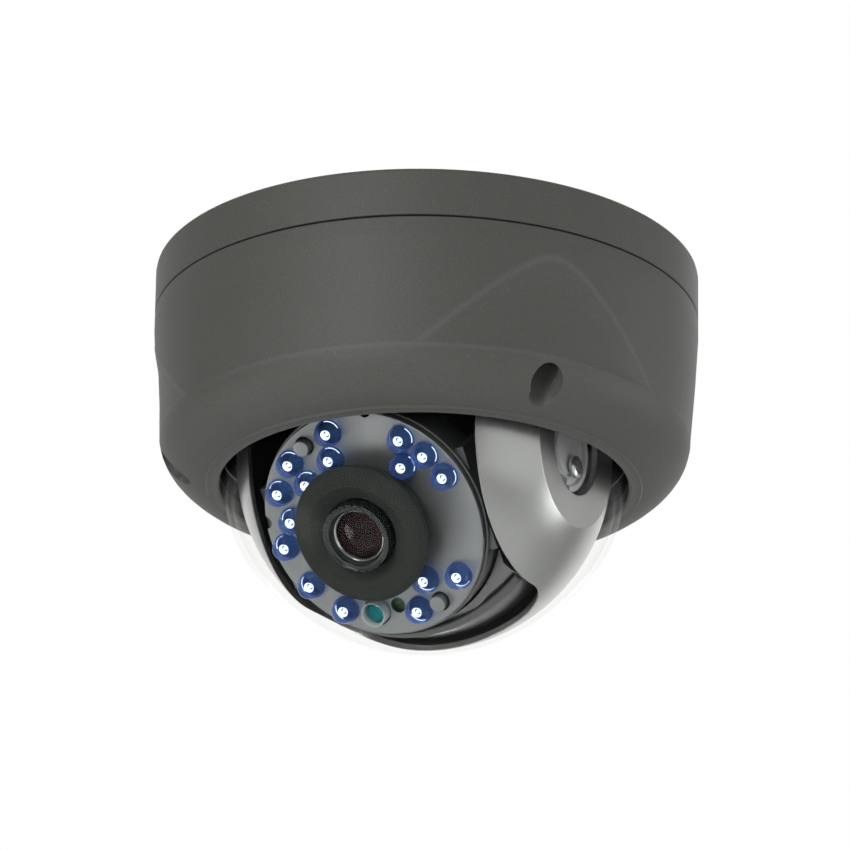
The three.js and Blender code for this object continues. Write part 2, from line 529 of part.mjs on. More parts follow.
// ---- assembly --------------------------------------------------------------------------------
const camera = new THREE.Group();
addBase(camera);
addCover(camera);
addPanStage(camera);

const tiltStage = new THREE.Group();
tiltStage.position.z = tiltAxisHeight;
tiltStage.rotation.x = Math.PI / 2 + radians(restTilt);
camera.add(tiltStage);
addTiltStage(tiltStage);
addHead(tiltStage);
camera.updateMatrixWorld(true);

export default camera;
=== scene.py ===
"""Looks of a ceiling-mounted dome surveillance camera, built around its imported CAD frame.

Sizes are in millimetres in the same frame as the CAD: the origin is the centre of the ceiling face, +Z goes
up into the ceiling and the lens looks towards -Y. Meshes are turned into metres when they are installed.
"""
import logging
import math
from collections.abc import Callable, Iterable, Mapping, Sequence
from dataclasses import dataclass, field
from enum import Enum

import bmesh
import bpy
from mathutils import Matrix, Vector


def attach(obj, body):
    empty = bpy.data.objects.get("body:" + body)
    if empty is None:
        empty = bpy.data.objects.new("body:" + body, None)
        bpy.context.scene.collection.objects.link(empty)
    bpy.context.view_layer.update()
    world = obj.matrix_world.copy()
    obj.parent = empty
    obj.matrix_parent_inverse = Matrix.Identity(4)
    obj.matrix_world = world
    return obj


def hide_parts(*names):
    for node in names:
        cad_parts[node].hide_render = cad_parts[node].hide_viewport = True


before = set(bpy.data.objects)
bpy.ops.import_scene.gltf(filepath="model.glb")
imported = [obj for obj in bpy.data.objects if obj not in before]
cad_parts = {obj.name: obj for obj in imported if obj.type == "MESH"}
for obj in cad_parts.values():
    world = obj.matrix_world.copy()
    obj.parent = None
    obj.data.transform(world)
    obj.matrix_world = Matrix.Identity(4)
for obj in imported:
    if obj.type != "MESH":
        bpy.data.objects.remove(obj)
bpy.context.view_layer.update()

LOG = logging.getLogger("dome_camera")
METRE = 0.001
TURN = 2 * math.pi

Point = tuple[float, float]
Colour = tuple[float, float, float]
Row = Sequence[float]


class Body(Enum):
    """The rigid bodies of the frame."""

    BASE = "base"
    COVER = "cover"
    PAN = "pan_stage"
    TILT = "tilt_stage"
    HEAD = "camera_head"


class Along(Enum):
    """The local axis that a turned piece's own axis is laid along."""

    Z = "z"
    X = "x"


# ---- shader kit ---------------------------------------------------------------------------------


class Wire:
    """A shader socket that does sums through Python's operators, one Math node for each."""

    def __init__(self, recipe: "Recipe", socket: bpy.types.NodeSocket) -> None:
        """Keep the recipe that owns the socket."""
        self.recipe = recipe
        self.socket = socket

    def _sum(self, operation: str, first: "Wire | float", second: "Wire | float") -> "Wire":
        """Add one Math node and return its result."""
        return self.recipe.node("ShaderNodeMath", {"operation": operation}, {0: first, 1: second})

    def __add__(self, other: "Wire | float") -> "Wire":
        """Return self + other."""
        return self._sum("ADD", self, other)

    __radd__ = __add__

    def __sub__(self, other: "Wire | float") -> "Wire":
        """Return self - other."""
        return self._sum("SUBTRACT", self, other)

    def __rsub__(self, other: "Wire | float") -> "Wire":
        """Return other - self."""
        return self._sum("SUBTRACT", other, self)

    def __mul__(self, other: "Wire | float") -> "Wire":
        """Return self * other."""
        return self._sum("MULTIPLY", self, other)

    __rmul__ = __mul__

    def __pow__(self, other: "Wire | float") -> "Wire":
        """Return self ** other."""
        return self._sum("POWER", self, other)

    def above(self, level: float) -> "Wire":
        """Return 1 where the value is over the level, else 0."""
        return self._sum("GREATER_THAN", self, level)


class Recipe:
    """One shader node tree, and the only place that nodes are made."""

    def __init__(self, owner: "bpy.types.Material | bpy.types.World") -> None:
        """Empty the owner's tree.

        Args:
            owner: the material or world whose tree this is.
        """
        owner.use_nodes = True
        self.owner = owner
        self.tree = owner.node_tree
        self.tree.nodes.clear()
        self._place: Wire | None = None

    @classmethod
    def material(cls, name: str) -> "Recipe":
        """Start a new material."""
        return cls(bpy.data.materials.new(name))

    def node(self, kind: str, settings: Mapping[str, object] | None = None,
             inputs: Mapping[str | int, object] | None = None, output: str | int = 0) -> Wire:
        """Add a node, set it up and fill its sockets.

        Args:
            kind: the node's type name.
            settings: its properties, or a ramp's stops under "stops".
            inputs: values or wires by socket name or index.
            output: the output to return.

        Returns:
            The wire of the chosen output.
        """
        node = self.tree.nodes.new(kind)
        for key, value in (settings or {}).items():
            if key == "stops":
                self._set_stops(node, value)
            else:
                setattr(node, key, value)
        for key, value in (inputs or {}).items():
            self._fill(node.inputs[key], value)
        return Wire(self, node.outputs[output])

    def _fill(self, socket: bpy.types.NodeSocket, value: object) -> None:
        """Link a wire to a socket, or set its plain value."""
        if isinstance(value, Wire):
            self.tree.links.new(value.socket, socket)
        elif isinstance(value, tuple) and len(value) == 3 and socket.type == "RGBA":
            socket.default_value = (*value, 1.0)
        else:
            socket.default_value = value

    @staticmethod
    def _set_stops(node: bpy.types.Node, stops: Sequence[tuple[float, Colour]]) -> None:
        """Give a colour ramp its stops."""
        elements = node.color_ramp.elements
        while len(elements) < len(stops):
            elements.new(0.5)
        for element, (place, colour) in zip(elements, stops):
            element.position = place
            element.color = (*colour, 1.0)

    def place(self) -> Wire:
        """Return object-space coordinates in metres, shared by the whole tree."""
        if self._place is None:
            self._place = self.node("ShaderNodeTexCoord", output="Object")
        return self._place

    def noise(self, per_mm: float, detail: float = 3.0, roughness: float = 0.55) -> Wire:
        """Add noise in the object's own space.

        Args:
            per_mm: about how many grains a millimetre holds.
            detail: octaves of finer noise.
            roughness: how strong each finer octave is.

        Returns:
            The noise, from 0 to 1.
        """
        return self.node("ShaderNodeTexNoise", {"noise_dimensions": "3D"},
                         {"Vector": self.place(), "Scale": per_mm / METRE, "Detail": detail,
                          "Roughness": roughness}, "Fac")

    def blend(self, mask: "Wire | float", low: "Colour | Wire", high: "Colour | Wire") -> Wire:
        """Mix two colours.

        Args:
            mask: 0 for the first colour, 1 for the second.
            low: the first colour.
            high: the second colour.

        Returns:
            The mixed colour.
        """
        return self.node("ShaderNodeMix", {"data_type": "RGBA"}, {0: mask, 6: low, 7: high}, 2)

    def facing(self, blend: float = 0.5) -> Wire:
        """Return 0 where the surface faces the viewer and 1 at its rim."""
        return self.node("ShaderNodeLayerWeight", None, {"Blend": blend}, "Facing")

    def finish(self, shader: Wire,
               kind: str = "ShaderNodeOutputMaterial") -> "bpy.types.Material | bpy.types.World":
        """Close the tree on a shader.

        Args:
            shader: the surface's or the surround's shader.
            kind: type name of the output node.

        Returns:
            The material or world that owns the tree.
        """
        end = self.tree.nodes.new(kind)
        self.tree.links.new(shader.socket, end.inputs["Surface"])
        return self.owner


# ---- finishes -----------------------------------------------------------------------------------


@dataclass(frozen=True)
class Skin:
    """An opaque finish: paint, moulding, casting, rubber or metal.

    Attributes:
        name: the material's name.
        colour: base colour.
        tint: the colour that soft mottling drifts towards.
        roughness: mean roughness.
        spread: how far roughness wanders.
        metallic: 0 for paint and plastic, 1 for bare metal.
        grain: grains in a millimetre.
        relief: height of the grain in millimetres.
        coat: weight of a clear coat.
        flecks: brightness of fine flake in the paint.
        mottle: mottling patches in a millimetre.
        worn_and_highlight: colour of rubbed edges and of painted highlights, where the mesh's point attribute
            marks them.
        shine: how strongly the bare surface reflects.
    """

    name: str
    colour: Colour
    tint: Colour
    roughness: float
    spread: float = 0.06
    metallic: float = 0.0
    grain: float = 3.0
    relief: float = 0.01
    coat: float = 0.0
    flecks: float = 0.0
    mottle: float = 0.05
    worn_and_highlight: Colour | None = None
    shine: float = 0.5

    def material(self) -> bpy.types.Material:
        """Build the material."""
        recipe = Recipe.material(self.name)
        patches = recipe.noise(self.mottle, 2.0)
        grain = recipe.noise(self.grain, 4.0, 0.7)
        shade = recipe.blend(patches, self.colour, self.tint)
        if self.flecks:
            fleck = recipe.noise(self.grain * 2.3, 1.0).above(0.66) * self.flecks
            pale = tuple(min(1.0, 2.2 * part + 0.05) for part in self.colour)
            shade = recipe.blend(fleck, shade, pale)
        # The point attribute holds rubbed paint and painted highlights; where it is set, the colour is
        # lightened towards the pale edge colour.
        if self.worn_and_highlight:
            wear_and_highlight = recipe.node("ShaderNodeAttribute", {"attribute_name": "wear_and_highlight"}, None, "Fac")
            shade = recipe.blend(wear_and_highlight * (grain * 0.8 + 0.6), shade, self.worn_and_highlight)
        rough = self.roughness - self.spread + patches * self.spread + grain * self.spread
        bump = recipe.node("ShaderNodeBump", None,
                           {"Strength": 1.0, "Distance": self.relief * METRE, "Height": grain}, "Normal")
        return recipe.finish(recipe.node("ShaderNodeBsdfPrincipled", None, {
            "Base Color": shade, "Roughness": rough, "Metallic": self.metallic,
            "Specular IOR Level": self.shine, "Coat Weight": self.coat, "Coat Roughness": 0.12,
            "Normal": bump}))


@dataclass(frozen=True)
class Clear:
    """Clear or tinted plastic: light goes straight through its middle, and its rim is deeper and glossier.

    Attributes:
        name: the material's name.
        through: tint of the light that passes.
        rim: colour of the surface itself, which shows at the rim.
        least: part of the surface that shows when it faces the viewer.
        gain: how much more of it shows at the rim.
        power: how tightly the rim keeps to the edge.
        roughness: roughness of its shine.
        metallic: 1 where the rim only mirrors.
    """

    name: str
    through: Colour
    rim: Colour
    least: float
    gain: float
    power: float = 3.0
    roughness: float = 0.03
    metallic: float = 0.0

    def material(self) -> bpy.types.Material:
        """Build the material."""
        recipe = Recipe.material(self.name)
        haze = recipe.noise(0.3, 2.0)
        shade = recipe.blend(haze, self.rim, tuple(0.8 * part for part in self.rim))
        body = recipe.node("ShaderNodeBsdfPrincipled", None, {
            "Base Color": shade, "Roughness": haze * 0.02 + self.roughness, "Metallic": self.metallic,
            "Specular IOR Level": 0.7})
        through = recipe.node("ShaderNodeBsdfTransparent", None, {"Color": self.through})
        amount = (recipe.facing() ** self.power) * self.gain + (haze * 0.3 + 0.85) * self.least
        return recipe.finish(recipe.node("ShaderNodeMixShader", None, {0: amount, 1: through, 2: body}))


@dataclass(frozen=True)
class PaintedGlow:
    """A surface with painted glow: it emits light though it is no lamp, standing in for the highlights seen
    through the epoxy or window over it.
    """

    name: str
    colour: Colour
    strength: float
    body: Colour = (0.8, 0.82, 0.85)

    def material(self) -> bpy.types.Material:
        """Build the material."""
        recipe = Recipe.material(self.name)
        patches = recipe.noise(2.5, 2.0)
        light = recipe.blend(patches, self.colour, tuple(0.35 * part for part in self.colour))
        return recipe.finish(recipe.node("ShaderNodeBsdfPrincipled", None, {
            "Base Color": recipe.blend(patches, self.body, self.colour), "Roughness": 0.2, "Metallic": 1.0,
            "Emission Color": light, "Emission Strength": self.strength}))


@dataclass(frozen=True)
class Laminate:
    """A circuit board: green mask with paler copper runs under it."""

    name: str
    mask: Colour
    copper: Colour

    def material(self) -> bpy.types.Material:
        """Build the material."""
        recipe = Recipe.material(self.name)
        bricks = recipe.node("ShaderNodeTexBrick", {"offset": 0.5}, {
            "Vector": recipe.place(), "Color1": (1, 1, 1), "Color2": (0.7, 0.7, 0.7), "Mortar": (0, 0, 0),
            "Scale": 0.35 / METRE, "Mortar Size": 0.05}, "Color")
        runs = recipe.node("ShaderNodeSeparateColor", None, {"Color": bricks}, "Red")
        return recipe.finish(recipe.node("ShaderNodeBsdfPrincipled", None, {
            "Base Color": recipe.blend(runs * 0.6, self.mask, self.copper),
            "Roughness": recipe.noise(0.6) * 0.2 + 0.25, "Coat Weight": 0.4}))


def finishes() -> dict[str, "Skin | Clear | PaintedGlow | Laminate"]:
    """Return every finish of the camera by its short name."""
    return {
        # Its pale edge colour stands for rubbed paint and also paints highlights on the creases, the shoulder
        # line and the lip.
        "cast_paint": Skin("powder_coat", (0.074, 0.073, 0.066), (0.082, 0.081, 0.075), 0.58, 0.06,
                           grain=1.7, relief=0.05, flecks=0.25, mottle=0.03, worn_and_highlight=(0.16, 0.165, 0.17),
                           shine=0.35),
        "shroud": Skin("satin_grey_paint", (0.37, 0.375, 0.37), (0.41, 0.415, 0.41), 0.32, 0.06, 0.9,
                       grain=2.6, relief=0.005, coat=0.15, flecks=0.2),
        "plate": Skin("satin_plate_paint", (0.25, 0.262, 0.266), (0.29, 0.302, 0.306), 0.42, 0.06, 0.88,
                      grain=3.0, relief=0.004, coat=0.1, flecks=0.15),
        "carrier": Skin("satin_dark_paint", (0.11, 0.115, 0.118), (0.14, 0.146, 0.149), 0.3, 0.06, 0.75,
                        grain=3.0, relief=0.004, coat=0.2, flecks=0.12),
        "gloss_black": Skin("gloss_dark_moulding", (0.15, 0.15, 0.152), (0.18, 0.18, 0.182), 0.24, 0.05, 0.85,
                            grain=1.5, relief=0.001, coat=1.0),
        "seal": Skin("coarse_seal", (0.07, 0.075, 0.075), (0.12, 0.126, 0.126), 0.7, 0.1,
                     grain=3.4, relief=0.05, flecks=0.5, mottle=0.4),
        "black": Skin("black_moulding", (0.01, 0.01, 0.011), (0.015, 0.015, 0.016), 0.42, 0.1,
                      grain=2.5, relief=0.005),
        "rubber": Skin("black_rubber", (0.012, 0.012, 0.012), (0.02, 0.02, 0.02), 0.7, 0.1, relief=0.006),
        "foam": Skin("closed_cell_foam", (0.018, 0.0215, 0.019), (0.027, 0.032, 0.028), 0.9, 0.06,
                     grain=3.0, relief=0.018, flecks=0.12, mottle=0.2, shine=0.25),
        "steel": Skin("zinc_plated_steel", (0.62, 0.62, 0.63), (0.5, 0.5, 0.52), 0.24, 0.1, 1.0,
                      relief=0.003),
        "alloy": Skin("cast_alloy", (0.3, 0.305, 0.31), (0.22, 0.225, 0.23), 0.42, 0.12, 1.0, relief=0.012),
        "arm": Skin("blackened_alloy", (0.02, 0.021, 0.022), (0.03, 0.031, 0.032), 0.4, 0.1, 0.3,
                    relief=0.008),
        "silver": Skin("anodised_ring", (0.07, 0.075, 0.075), (0.05, 0.054, 0.054), 0.22, 0.06, 0.9,
                       grain=6.0, relief=0.001),
        "bezel": Skin("polished_bezel", (0.55, 0.56, 0.56), (0.48, 0.49, 0.49), 0.2, 0.04, 1.0,
                      grain=3.0, relief=0.0),
        "stop": Skin("inner_stop", (0.07, 0.02, 0.02), (0.045, 0.012, 0.014), 0.5, 0.06,
                     grain=2.0, relief=0.0),
        # Its green and pink colour is a painted reflection of the lens coating.
        "inner_glass_painted_reflection": Skin("coated_inner_lens", (0.02, 0.12, 0.07), (0.12, 0.03, 0.06), 0.04, 0.02,
                            grain=0.5, relief=0.0, coat=1.0, mottle=0.8),
        "silicon": Skin("sensor_face", (0.06, 0.05, 0.1), (0.03, 0.07, 0.1), 0.15, 0.05, 0.5, relief=0.0),
        "bubble": Clear("clear_polycarbonate", (0.992, 0.994, 0.99), (0.93, 0.92, 0.9), 0.003, 0.2,
                        6.0, 0.15, 1.0),
        "guide": Clear("clear_guide", (0.97, 0.98, 0.98), (0.8, 0.82, 0.82), 0.42, 0.6, 1.2, 0.12),
        "clear_part": Clear("clear_moulding", (0.95, 0.97, 0.97), (0.78, 0.8, 0.8), 0.3, 0.7, 1.2, 0.1),
        "front_glass": Clear("coated_front_lens", (0.62, 0.42, 0.42), (0.02, 0.01, 0.012), 0.3, 0.6,
                             2.0, 0.02),
        "epoxy": Clear("blue_epoxy", (0.66, 0.78, 1.0), (0.1, 0.18, 0.5), 0.16, 0.8, 2.0, 0.05),
        "teal": Clear("teal_filter_glass", (0.25, 0.9, 0.92), (0.02, 0.28, 0.3), 0.25, 0.7, 2.0, 0.03),
        # The lamps' reflector cup, die and thin crescent glow: painted highlights.
        "cup": PaintedGlow("lamp_reflector_painted_glow", (0.9, 0.94, 1.0), 2.6),
        # The sensor chip glows teal: painted light seen through the window.
        "teal_painted_glow": PaintedGlow("sensor_chip_painted_glow", (0.05, 0.5, 0.52), 0.25, (0.04, 0.3, 0.32)),
        "board": Laminate("circuit_board", (0.012, 0.06, 0.022), (0.05, 0.17, 0.06)),
    }


# ---- mesh kit -----------------------------------------------------------------------------------


def soften(outline: Sequence[Row], radius: float, steps: int = 3) -> list[Point]:
    """Round the corners of a closed profile.

    Args:
        outline: [radius, height] points; a third number is that corner's own rounding.
        radius: rounding of the other corners.
        steps: pieces that each corner is made of.

    Returns:
        The profile's points with its corners rounded.
    """
    points = [Vector(row[:2]) for row in outline]
    result: list[Point] = []
    for i, corner in enumerate(points):
        own = outline[i][2] if len(outline[i]) > 2 else radius
        before = points[i - 1] - corner
        after = points[(i + 1) % len(points)] - corner
        on_axis = corner.x < 1e-6
        bend = 0.0 if on_axis else math.pi - before.angle(after, math.pi)
        if bend < math.radians(18) or own <= 0:
            result.append((corner.x, corner.y))
            continue
        reach = min(own * math.tan(bend / 2), 0.45 * before.length, 0.45 * after.length)
        start = corner + before.normalized() * reach
        end = corner + after.normalized() * reach
        for k in range(steps + 1):
            t = k / steps
            spot = start * (1 - t) ** 2 + corner * (2 * t * (1 - t)) + end * t ** 2
            result.append((spot.x, spot.y))
    return result


def sphere_arc(radius: float, centre: float, low: float, high: float, steps: int) -> list[Point]:
    """Lay profile points on a sphere.

    Args:
        radius: the sphere's radius.
        centre: height of its centre.
        low: where the arc starts, over the centre.
        high: where it ends, over the centre.
        steps: pieces that the arc is made of.

    Returns:
        The [radius, height] points.
    """
    start = math.asin(low / radius)
    end = math.asin(high / radius)
    angles = [start + (end - start) * i / steps for i in range(steps + 1)]
    return [(max(0.0, radius * math.cos(a)), centre + radius * math.sin(a)) for a in angles]


def mesh_of(name: str, verts: Sequence[Sequence[float]],
            faces: Sequence[Sequence[int]]) -> bpy.types.Object:
    """Make a linked object, with close vertices merged and its faces pointing out.

    Args:
        name: the object's name.
        verts: its vertices.
        faces: its faces, as vertex numbers.

    Returns:
        The new object.
    """
    mesh = bpy.data.meshes.new(name)
    mesh.from_pydata([tuple(v) for v in verts], [], [tuple(f) for f in faces])
    shape = bmesh.new()
    shape.from_mesh(mesh)
    bmesh.ops.remove_doubles(shape, verts=shape.verts, dist=1e-5)
    bmesh.ops.recalc_face_normals(shape, faces=shape.faces)
    shape.to_mesh(mesh)
    shape.free()
    piece = bpy.data.objects.new(name, mesh)
    bpy.context.scene.collection.objects.link(piece)
    return piece


def turned(name: str, profile: Sequence[Point], segments: int = 96, along: Along = Along.Z,
           shape: Callable[[float, float, float], float] | None = None) -> bpy.types.Object:
    """Turn a profile into a solid of revolution.

    Args:
        name: the object's name.
        profile: [radius, height] points, closed on themselves or ending on the axis.
        segments: steps round the turn.
        along: the axis that the height runs along.
        shape: gives a point's radius from its radius, height and angle, for surfaces that aren't quite round.

    Returns:
        The new object, in millimetres.
    """
    verts: list[tuple[float, float, float]] = []
    rings: list[list[int]] = []
    for radius, height in profile:
        first = len(verts)
        count = 1 if radius < 1e-6 else segments
        for k in range(count):
            angle = TURN * k / segments
            r = shape(radius, height, angle) if shape else radius
            verts.append((r * math.sin(angle), -r * math.cos(angle), height))
        rings.append([first + (k % count) for k in range(segments)])
    open_ends = profile[0][0] < 1e-6 and profile[-1][0] < 1e-6
    pairs = zip(rings, rings[1:] if open_ends else rings[1:] + rings[:1])
    faces = []
    for low, high in pairs:
        for k in range(segments):
            nxt = (k + 1) % segments
            corners = list(dict.fromkeys((low[k], low[nxt], high[nxt], high[k])))
            if len(corners) > 2:
                faces.append(corners)
    piece = mesh_of(name, verts, faces)
    if along is Along.X:
        piece.data.transform(Matrix.Rotation(math.pi / 2, 4, "Y"))
    return piece


def rod(name: str, radius: float, low: float, high: float, segments: int = 48,
        along: Along = Along.Z) -> bpy.types.Object:
    """Make a plain rod, used to cut and to join.

    Args:
        name: the object's name.
        radius: its radius.
        low: where it starts along its axis.
        high: where it ends along its axis.
        segments: facets round it.
        along: the axis that it lies along.

    Returns:
        The rod.
    """
    return turned(name, [(0, low), (radius, low), (radius, high), (0, high)], segments, along)


def extruded(name: str, outline: Sequence[Point], low: float, high: float) -> bpy.types.Object:
    """Make a prism.

    Args:
        name: the object's name.
        outline: its outline in X and Y.
        low: height of its foot.
        high: height of its top.

    Returns:
        The prism.
    """
    count = len(outline)
    verts = [(x, y, z) for z in (low, high) for x, y in outline]
    sides = [(i, (i + 1) % count, count + (i + 1) % count, count + i) for i in range(count)]
    return mesh_of(name, verts, [*sides, tuple(range(count)), tuple(range(count, 2 * count))])


def sheet_of(name: str, outer: Sequence[Sequence[Vector]],
             inner: Sequence[Sequence[Vector]]) -> bpy.types.Object:
    """Make a closed curved plate.

    Args:
        name: the object's name.
        outer: the grid of points on its outer face.
        inner: the matching grid on its inner face.

    Returns:
        The plate.
    """
    tall, wide = len(outer), len(outer[0])
    verts = [spot for grid in (outer, inner) for row in grid for spot in row]
    half = tall * wide
    faces = []
    for i in range(tall - 1):
        for j in range(wide - 1):
            a = i * wide + j
            faces.append((a, a + 1, a + wide + 1, a + wide))
            faces.append((half + a, half + a + wide, half + a + wide + 1, half + a + 1))
    edge = ([j for j in range(wide)] + [i * wide + wide - 1 for i in range(1, tall)]
            + [(tall - 1) * wide + j for j in range(wide - 2, -1, -1)]
            + [i * wide for i in range(tall - 2, 0, -1)])
    for a, b in zip(edge, edge[1:] + edge[:1]):
        faces.append((a, b, half + b, half + a))
    return mesh_of(name, verts, faces)


def apply_modifiers(piece: bpy.types.Object) -> None:
    """Turn a piece's modifiers into its own mesh."""
    graph = bpy.context.evaluated_depsgraph_get()
    mesh = bpy.data.meshes.new_from_object(piece.evaluated_get(graph))
    piece.modifiers.clear()
    old = piece.data
    piece.data = mesh
    bpy.data.meshes.remove(old)


def combine(piece: bpy.types.Object, tools: Iterable[bpy.types.Object], operation: str) -> None:
    """Cut, join or intersect a piece with other solids, which are used up.

    Args:
        piece: the solid that changes.
        tools: the solids to apply in turn.
        operation: "DIFFERENCE", "UNION" or "INTERSECT".
    """
    for tool in tools:
        modifier = piece.modifiers.new("combine", "BOOLEAN")
        modifier.operation = operation
        modifier.solver = "EXACT"
        modifier.object = tool
        apply_modifiers(piece)
        mesh = tool.data
        bpy.data.objects.remove(tool)
        bpy.data.meshes.remove(mesh)


def join(name: str, parts: Sequence[bpy.types.Object]) -> bpy.types.Object:
    """Put separate solids that don't touch into one object.

    Args:
        name: the new object's name.
        parts: the solids, which are used up.

    Returns:
        The new object.
    """
    shape = bmesh.new()
    for part in parts:
        shape.from_mesh(part.data)
        mesh = part.data
        bpy.data.objects.remove(part)
        bpy.data.meshes.remove(mesh)
    mesh = bpy.data.meshes.new(name)
    shape.to_mesh(mesh)
    shape.free()
    piece = bpy.data.objects.new(name, mesh)
    bpy.context.scene.collection.objects.link(piece)
    return piece


def bevel(piece: bpy.types.Object, width: float, angle: float = 40.0, segments: int = 2) -> None:
    """Round the sharp edges that cuts leave.

    Args:
        piece: the object.
        width: width of the bevel.
        angle: edges over this angle in degrees are rounded.
        segments: faces across each bevel.
    """
    modifier = piece.modifiers.new("bevel", "BEVEL")
    modifier.width = width
    modifier.segments = segments
    modifier.limit_method = "ANGLE"
    modifier.angle_limit = math.radians(angle)
    modifier.use_clamp_overlap = False
    modifier.harden_normals = False
    apply_modifiers(piece)


def smooth(piece: bpy.types.Object, angle: float = 32.0) -> None:
    """Shade a piece smooth.

    Args:
        piece: the object.
        angle: edges over this angle in degrees stay crisp.
    """
    piece.data.polygons.foreach_set("use_smooth", [True] * len(piece.data.polygons))
    piece.data.set_sharp_from_angle(angle=math.radians(angle))
    modifier = piece.modifiers.new("normals", "WEIGHTED_NORMAL")
    modifier.keep_sharp = True


def on_circle(radius: float, angle: float, height: float = 0.0) -> Vector:
    """Return a point on a circle; the angle in degrees runs from -Y towards +X."""
    turn = math.radians(angle)
    return Vector((radius * math.sin(turn), -radius * math.cos(turn), height))


def on_plate(radius: float, angle: float) -> Vector:
    """Return a point on the lamp plate; the angle in degrees runs from its top towards +X."""
    turn = math.radians(angle)
    return Vector((radius * math.sin(turn), radius * math.cos(turn), 0.0))


def moved(piece: bpy.types.Object, place: Matrix | Vector) -> bpy.types.Object:
    """Move a piece's mesh by a matrix or a step and return the piece."""
    piece.data.transform(place if isinstance(place, Matrix) else Matrix.Translation(place))
    return piece


@dataclass
class Workshop:
    """Installs finished pieces: finish, body, replaced nodes and material slot."""

    materials: dict[str, bpy.types.Material] = field(default_factory=dict)
    count: int = 0

    def material(self, finish: str) -> bpy.types.Material:
        """Return the material of a finish, built when it is first asked for."""
        if finish not in self.materials:
            self.materials[finish] = finishes()[finish].material()
        return self.materials[finish]

    def install(self, piece: bpy.types.Object, body: Body, finish: str, slot: str, *nodes: str,
                crisp: float = 32.0) -> bpy.types.Object:
        """Turn a piece into metres, finish it and fix it to its body.

        Args:
            piece: the object, in millimetres.
            body: the body it rides on.
            finish: the short name of its finish.
            slot: the name of a material slot; not used.
            nodes: the CAD nodes it stands for.
            crisp: edges over this angle in degrees stay crisp.

        Returns:
            The piece.
        """
        piece.data.transform(Matrix.Scale(METRE, 4))
        smooth(piece, crisp)
        piece.data.materials.clear()
        piece.data.materials.append(self.material(finish))
        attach(piece, body.value)
        if nodes:
            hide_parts(*nodes)
        self.count += 1
        LOG.info("%s: %d faces on %s", piece.name, len(piece.data.polygons), body.value)
        return piece

    def redress(self, node: str, finish: str) -> None:
        """Give a CAD node that stays visible a better finish."""
        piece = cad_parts[node]
        material = self.material(finish)
        for slot in piece.material_slots:
            slot.material = material
        LOG.info("%s: CAD node in %s", node, finish)


# ---- housing ------------------------------------------------------------------------------------


